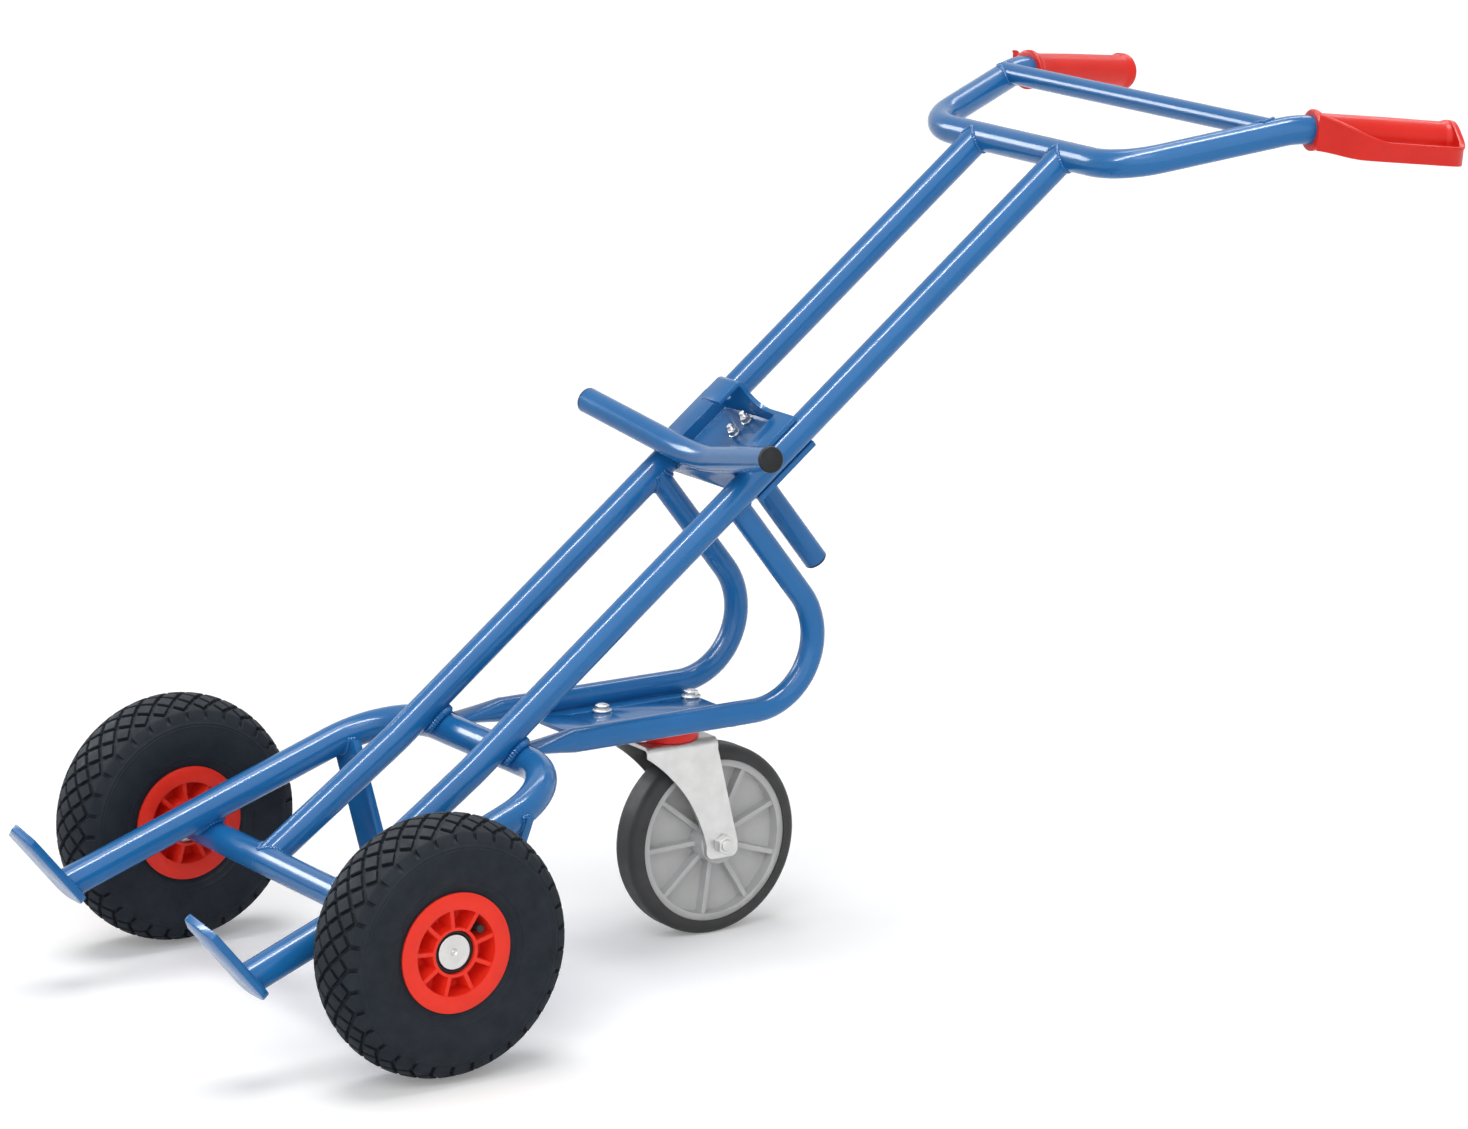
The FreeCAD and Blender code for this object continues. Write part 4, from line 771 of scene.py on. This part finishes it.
def make_tyre(name, centre, outer):
    """A tyre whose crown is sunk between the blocks and lugs that stand on it."""
    line = tyre_line(outer)
    total = line.at[-1]
    places = {round(total * step / TYRE_LINE_STEPS, 6) for step in range(TYRE_LINE_STEPS + 1)}
    for place, _ in SIDEWALL_RIDGES:
        places.update(place + RIDGE_WIDTH * step / 2 for step in range(-RIDGE_STEPS, RIDGE_STEPS + 1))
    half = []
    for distance in sorted(place for place in places if place <= total):
        place, out = line(distance)
        sunk = TREAD_DEPTH * (1 - smooth_step(distance, TREAD_HALF - TREAD_RUN_OUT, TREAD_HALF))
        half.append(place + out * (ridge_height(distance) - sunk))
    half.append(Vector((TYRE_BEAD_HALF, TYRE_SEAT_RADIUS)))
    half.append(Vector((TYRE_BEAD_HALF - TYRE_BEAD_WIDTH, TYRE_SEAT_RADIUS)))
    profile = [(place.y, -place.x) for place in reversed(half)]
    profile += [(place.y, place.x) for place in half[1:]]
    mesh = bmesh.new()
    turned(mesh, profile, centre, ACROSS, FORWARD, steps=TYRE_AROUND)
    bmesh.ops.bridge_loops(mesh, edges=[edge for edge in mesh.edges if edge.is_boundary])
    for block in range(TREAD_AROUND):
        for row in range(-TREAD_OUTER_ROW, TREAD_OUTER_ROW + 1):
            add_block(mesh, line, centre, block_turn(block, row), row)
        for side in (-1, 1):
            add_lug(mesh, line, centre, block_turn(block, TREAD_OUTER_ROW + 1), side)
    return piece_of(name, mesh, smooth_angle=30)


def block_turn(block, row):
    """The angle of a block round the tyre; every other row is half a step on."""
    return TREAD_TURN + 2 * math.pi * (block + (row % 2) / 2) / TREAD_AROUND


def inset(corners, margin):
    """A convex outline, run leftwards round its middle, with each side moved inward."""
    made = []
    for index, corner in enumerate(corners):
        before = (corner - corners[index - 1]).normalized()
        after = (corners[(index + 1) % len(corners)] - corner).normalized()
        inward = Vector((-before.y - after.y, before.x + after.x))
        made.append(corner + inward * margin / (1 + before.dot(after)))
    return made


def on_tyre(line, centre, turn, distance, lift):
    """The place at an angle round the tyre and a distance from its crown, lifted off it."""
    place, out = line(abs(distance))
    place = place + out * lift
    radial = FORWARD * math.cos(turn) + UP * math.sin(turn)
    return centre + ACROSS * math.copysign(place.x, distance) + radial * place.y


def add_block(mesh, line, centre, turn, row):
    """One diamond block of the tread, with sloped sides and a small chamfer."""
    middle = row * TREAD_PITCH
    _, radius = line(abs(middle))[0]
    half = math.pi / TREAD_AROUND * radius
    high = TREAD_LAST_REACH if row == TREAD_OUTER_ROW else TREAD_PITCH
    low = TREAD_LAST_REACH if row == -TREAD_OUTER_ROW else TREAD_PITCH
    diamond = [Vector((half, 0)), Vector((0, high)), Vector((-half, 0)), Vector((0, -low))]
    rings = []
    for margin, lift in TREAD_RINGS:
        corners = inset(diamond, margin)
        ring = []
        for index, corner in enumerate(corners):
            for place in (corner, (corner + corners[(index + 1) % 4]) / 2):
                around = turn + place.x / radius
                ring.append(mesh.verts.new(on_tyre(line, centre, around, middle + place.y, lift)))
        rings.append(ring)
    skin(mesh, rings)
    peak = mesh.verts.new(on_tyre(line, centre, turn, middle, 0))
    top = rings[-1]
    for step in range(0, len(top), 2):
        mesh.faces.new((top[step - 1], top[step], top[step + 1], peak))
    mesh.faces.new(rings[0][::-1])


def add_lug(mesh, line, centre, turn, side):
    """A pointed lug between two outer blocks that runs out into the sidewall."""
    rows = []
    for distance in LUG_ENDS:
        _, radius = line(distance)[0]
        full = math.pi / TREAD_AROUND * radius
        spread = (distance - TREAD_OUTER_ROW * TREAD_PITCH) / TREAD_LAST_REACH * full
        row = []
        for margin, lift in TREAD_RINGS:
            width = max(min(spread - margin * LUG_SLANT, full - margin), LUG_TIP)
            row.append((-width / radius, lift))
        row += [(-around, lift) for around, lift in reversed(row)]
        rows.append([mesh.verts.new(on_tyre(line, centre, turn + around, side * distance, lift))
                     for around, lift in row])
    skin(mesh, rows)
    mesh.faces.new(rows[0])
    mesh.faces.new(rows[-1])


def make_hub_cap(name, node, out):
    """A pressed cap with a turned edge and a centre mark."""
    low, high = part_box(node)
    centre = (low + high) / 2
    radius = (high.x - low.x) / 2 - CAP_INSET
    height = high.y - low.y
    dish = height * CAP_DISH
    floor = height * CAP_MARK_FLOOR
    profile = soften([(radius, 0), (radius, height), (radius * CAP_LIP, height),
                      (radius * CAP_LIP_FOOT, dish), (CAP_MARK * CAP_MARK_RIM, dish), (CAP_MARK, floor),
                      (CAP_MARK * CAP_MARK_CORE, floor), (0, height * CAP_MARK_TIP)], CAP_EDGE)
    mesh = bmesh.new()
    turned(mesh, [(0, 0)] + profile, centre - out * height / 2, out, FORWARD)
    dress(piece_of(name, mesh), node)


def make_valve(name, node, out):
    """A rubber valve: a flared foot, a waist and a capped stem."""
    low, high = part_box(node)
    centre = (low + high) / 2
    radius = (high.x - low.x) / 2
    length = high.y - low.y
    flare = [(VALVE_FOOT * wide, length * along) for wide, along in VALVE_FLARE]
    stem = [(radius * wide, length * along) for wide, along in VALVE_STEM]
    profile = soften(flare + stem + [(0, length)], VALVE_EDGE)
    mesh = bmesh.new()
    turned(mesh, [(0, 0)] + profile, centre - out * length / 2, out, FORWARD, steps=40)
    dress(piece_of(name, mesh), node)


def make_wheels():
    for side_name, side in SIDES:
        centre = box_middle(side_name + "_tyre")
        low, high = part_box(side_name + "_tyre")
        outer = (high.z - low.z) / 2
        dress(make_tyre(side_name + "_treaded_tyre", centre, outer), side_name + "_tyre")
        rounded(side_name + "_rim", RIM_EDGE)
        make_hub_cap(side_name + "_turned_cap", side_name + "_hub_cap", ACROSS * side)
        make_valve(side_name + "_rubber_valve", side_name + "_valve", ACROSS * side)


# Grips

def grip_axes(node, side):
    """The grip's front middle and its axes: outward, up and along."""
    along = Vector((math.cos(GRIP_SPLAY) * math.cos(GRIP_DROP),
                    side * math.sin(GRIP_SPLAY) * math.cos(GRIP_DROP),
                    -math.sin(GRIP_DROP)))
    out = (ACROSS * side - along * along.dot(ACROSS * side)).normalized()
    up = out.cross(along) * -side
    places = [vertex.co for vertex in nodes[node].data.vertices]
    near = min(place.dot(out) for place in places) + GRIP_FLANGE_RADIUS
    top = max(place.dot(up) for place in places) - GRIP_FLANGE_RADIUS
    start = min(place.dot(along) for place in places)
    return out * near + up * top + along * start, out, up, along


def guard_path():
    """The middle line of the guard's wall, as (out, along) points."""
    reach = GUARD_REACH - GUARD_WALL / 2
    far = GRIP_LENGTH - GUARD_WALL / 2
    corners = [(GRIP_FLANGE_RADIUS - GUARD_WALL / 2, 0), GUARD_FIRST_CORNER, (reach, GUARD_RISE),
               (reach, far), (0, far)]
    return [Vector(place) for place in soften(corners, GUARD_CORNER, GUARD_CORNER_STEPS)]


def add_guard(mesh, base, out, up, along):
    """The hand guard's wall, which falls from the flange and rises again at the grip's end."""
    spread = evenly([Vector((*place, 0)) for place in guard_path()], GUARD_STEP)
    half = GUARD_WALL / 2
    rings = []
    for index, place in enumerate(spread):
        before = spread[max(index - 1, 0)]
        after = spread[min(index + 1, len(spread) - 1)]
        ahead = (after - before).normalized()
        normal = Vector((ahead.y, -ahead.x))
        straight = place.y if index < len(spread) / 2 else GRIP_LENGTH
        fall = smooth_step(straight, *GUARD_TOP_FALL)
        top = GUARD_TOP_FRONT + (GUARD_TOP - GUARD_TOP_FRONT) * fall
        if index > len(spread) / 2:
            rise = smooth_step(GUARD_REACH - place.x, *GUARD_END_RISE)
            top += (GRIP_END_RADIUS - GUARD_TOP) * rise
        fall = smooth_step(straight, *GUARD_BOTTOM_FALL)
        bottom = GUARD_BOTTOM_FRONT + (GUARD_BOTTOM - GUARD_BOTTOM_FRONT) * fall
        wide = half + GUARD_RIM
        section = [(-half, bottom + GUARD_EDGE), (-half + GUARD_EDGE, bottom), (half - GUARD_EDGE, bottom),
                   (half, bottom + GUARD_EDGE), (half, top - GUARD_RIM_FOOT), (wide, top - GUARD_RIM_LOW),
                   (wide, top - GUARD_EDGE), (half, top), (-half, top), (-wide, top - GUARD_EDGE),
                   (-wide, top - GUARD_RIM_LOW), (-half, top - GUARD_RIM_FOOT)]
        ring = []
        for side, height in section:
            flat = Vector((place.x, place.y)) + normal * side
            ring.append(mesh.verts.new(base + out * flat.x + along * flat.y + up * height))
        rings.append(ring)
    skin(mesh, rings)
    mesh.faces.new(rings[0])
    mesh.faces.new(rings[-1])


def make_grips():
    for side_name, side in SIDES:
        node = side_name + "_grip"
        base, out, up, along = grip_axes(node, side)
        mesh = bmesh.new()
        outside = soften([(GRIP_BORE, 0), (GRIP_FLANGE_RADIUS, 0),
                          (GRIP_FLANGE_RADIUS, GRIP_FLANGE_THICKNESS), (GRIP_RADIUS, GRIP_NECK),
                          (GRIP_RADIUS + GRIP_SWELL, GRIP_LENGTH / 2),
                          (GRIP_RADIUS, GRIP_LENGTH - GRIP_NECK),
                          (GRIP_END_RADIUS, GRIP_LENGTH - GRIP_END_THICKNESS),
                          (GRIP_END_RADIUS, GRIP_LENGTH), (0, GRIP_LENGTH)], GRIP_EDGE)
        bore_end = GRIP_LENGTH - GRIP_END_WALL
        inside = [(0, bore_end), (GRIP_BORE, bore_end)]
        turned(mesh, inside + outside, base, along, out, steps=72)
        add_guard(mesh, base, out, up, along)
        dress(piece_of(side_name + "_moulded_grip", mesh, smooth_angle=50), node)


# Studio

def seen_directly(tree):
    """1 for rays from the camera, a mirror or a clear surface, 0 for the light on the object."""
    rays = tree.nodes.new("ShaderNodeLightPath")
    total = rays.outputs["Is Camera Ray"]
    for name in ("Is Glossy Ray", "Is Transmission Ray"):
        either = tree.nodes.new("ShaderNodeMath")
        either.operation = "MAXIMUM"
        tree.links.new(total, either.inputs[0])
        tree.links.new(rays.outputs[name], either.inputs[1])
        total = either.outputs["Value"]
    return total


def make_floor():
    made = bpy.data.materials.new("floor")
    made.use_nodes = True
    tree = made.node_tree
    shader = tree.nodes["Principled BSDF"]
    socket(shader, base_color=(FLOOR_COLOUR, FLOOR_COLOUR, FLOOR_COLOUR, 1), roughness=FLOOR_ROUGHNESS,
           specular_ior_level=0, emission_color=WHITE)
    lift = tree.nodes.new("ShaderNodeMath")
    lift.operation = "MULTIPLY"
    lift.inputs[1].default_value = FLOOR_LIFT
    tree.links.new(seen_directly(tree), lift.inputs[0])
    tree.links.new(lift.outputs["Value"], shader.inputs["Emission Strength"])
    data = bpy.data.meshes.new("floor")
    corners = [(-FLOOR_REACH, -FLOOR_REACH, 0), (FLOOR_REACH, -FLOOR_REACH, 0),
               (FLOOR_REACH, FLOOR_REACH, 0), (-FLOOR_REACH, FLOOR_REACH, 0)]
    data.from_pydata(corners, [], [(0, 1, 2, 3)])
    data.materials.append(made)
    floor = bpy.data.objects.new("floor", data)
    bpy.context.scene.collection.objects.link(floor)


def sun(name, towards, angle, strength):
    """A far soft light that comes from a direction."""
    data = bpy.data.lights.new(name, "SUN")
    data.angle = math.radians(angle)
    data.energy = strength
    light = bpy.data.objects.new(name, data)
    light.rotation_mode = "QUATERNION"
    light.rotation_quaternion = Vector(towards).to_track_quat("Z", "Y")
    bpy.context.scene.collection.objects.link(light)


def strip(name, place, target, length, width, power):
    """A flat lamp out of view, only for the gloss on the paint and metal."""
    data = bpy.data.lights.new(name, "AREA")
    data.shape = "RECTANGLE"
    data.size = length
    data.size_y = width
    data.energy = power
    light = bpy.data.objects.new(name, data)
    light.location = place
    back = (Vector(place) - Vector(target)).normalized()
    along = (FORWARD - back * back.dot(FORWARD)).normalized()
    light.rotation_mode = "QUATERNION"
    light.rotation_quaternion = Matrix((along, back.cross(along), back)).transposed().to_quaternion()
    light.visible_diffuse = False
    light.visible_camera = False
    bpy.context.scene.collection.objects.link(light)


def make_lights():
    world = bpy.data.worlds.new("studio")
    world.use_nodes = True
    tree = world.node_tree
    background = tree.nodes["Background"]
    background.inputs["Color"].default_value = WHITE
    level = tree.nodes.new("ShaderNodeMapRange")
    level.inputs["To Min"].default_value = WORLD_LIGHT
    level.inputs["To Max"].default_value = 1
    tree.links.new(seen_directly(tree), level.inputs["Value"])
    tree.links.new(level.outputs["Result"], background.inputs["Strength"])
    bpy.context.scene.world = world
    for row in SUNS:
        sun(*row)
    for row in STRIPS:
        strip(*row)


def make_camera():
    scene = bpy.context.scene
    data = bpy.data.cameras.new("camera")
    data.sensor_fit = "HORIZONTAL"
    data.sensor_width = SENSOR_WIDTH
    data.lens = FOCAL_PIXELS / PHOTO_WIDTH * SENSOR_WIDTH
    data.clip_end = CAMERA_CLIP_END
    camera = bpy.data.objects.new("camera", data)
    back = Vector((math.sin(CAMERA_AZIMUTH) * math.cos(CAMERA_ELEVATION),
                   -math.cos(CAMERA_AZIMUTH) * math.cos(CAMERA_ELEVATION),
                   math.sin(CAMERA_ELEVATION)))
    camera.rotation_mode = "QUATERNION"
    turn = (-back).to_track_quat("-Z", "Y").to_matrix() @ Matrix.Rotation(CAMERA_ROLL, 3, "Z")
    camera.rotation_quaternion = turn.to_quaternion()
    camera.location = CAMERA_FROM_AXLE + FORWARD * box_middle("axle").x
    scene.collection.objects.link(camera)
    scene.camera = camera
    scene.view_settings.view_transform = "Standard"


make_welds()
make_crossings()
make_plates()
make_wheels()
make_grips()
make_floor()
make_lights()
make_camera()
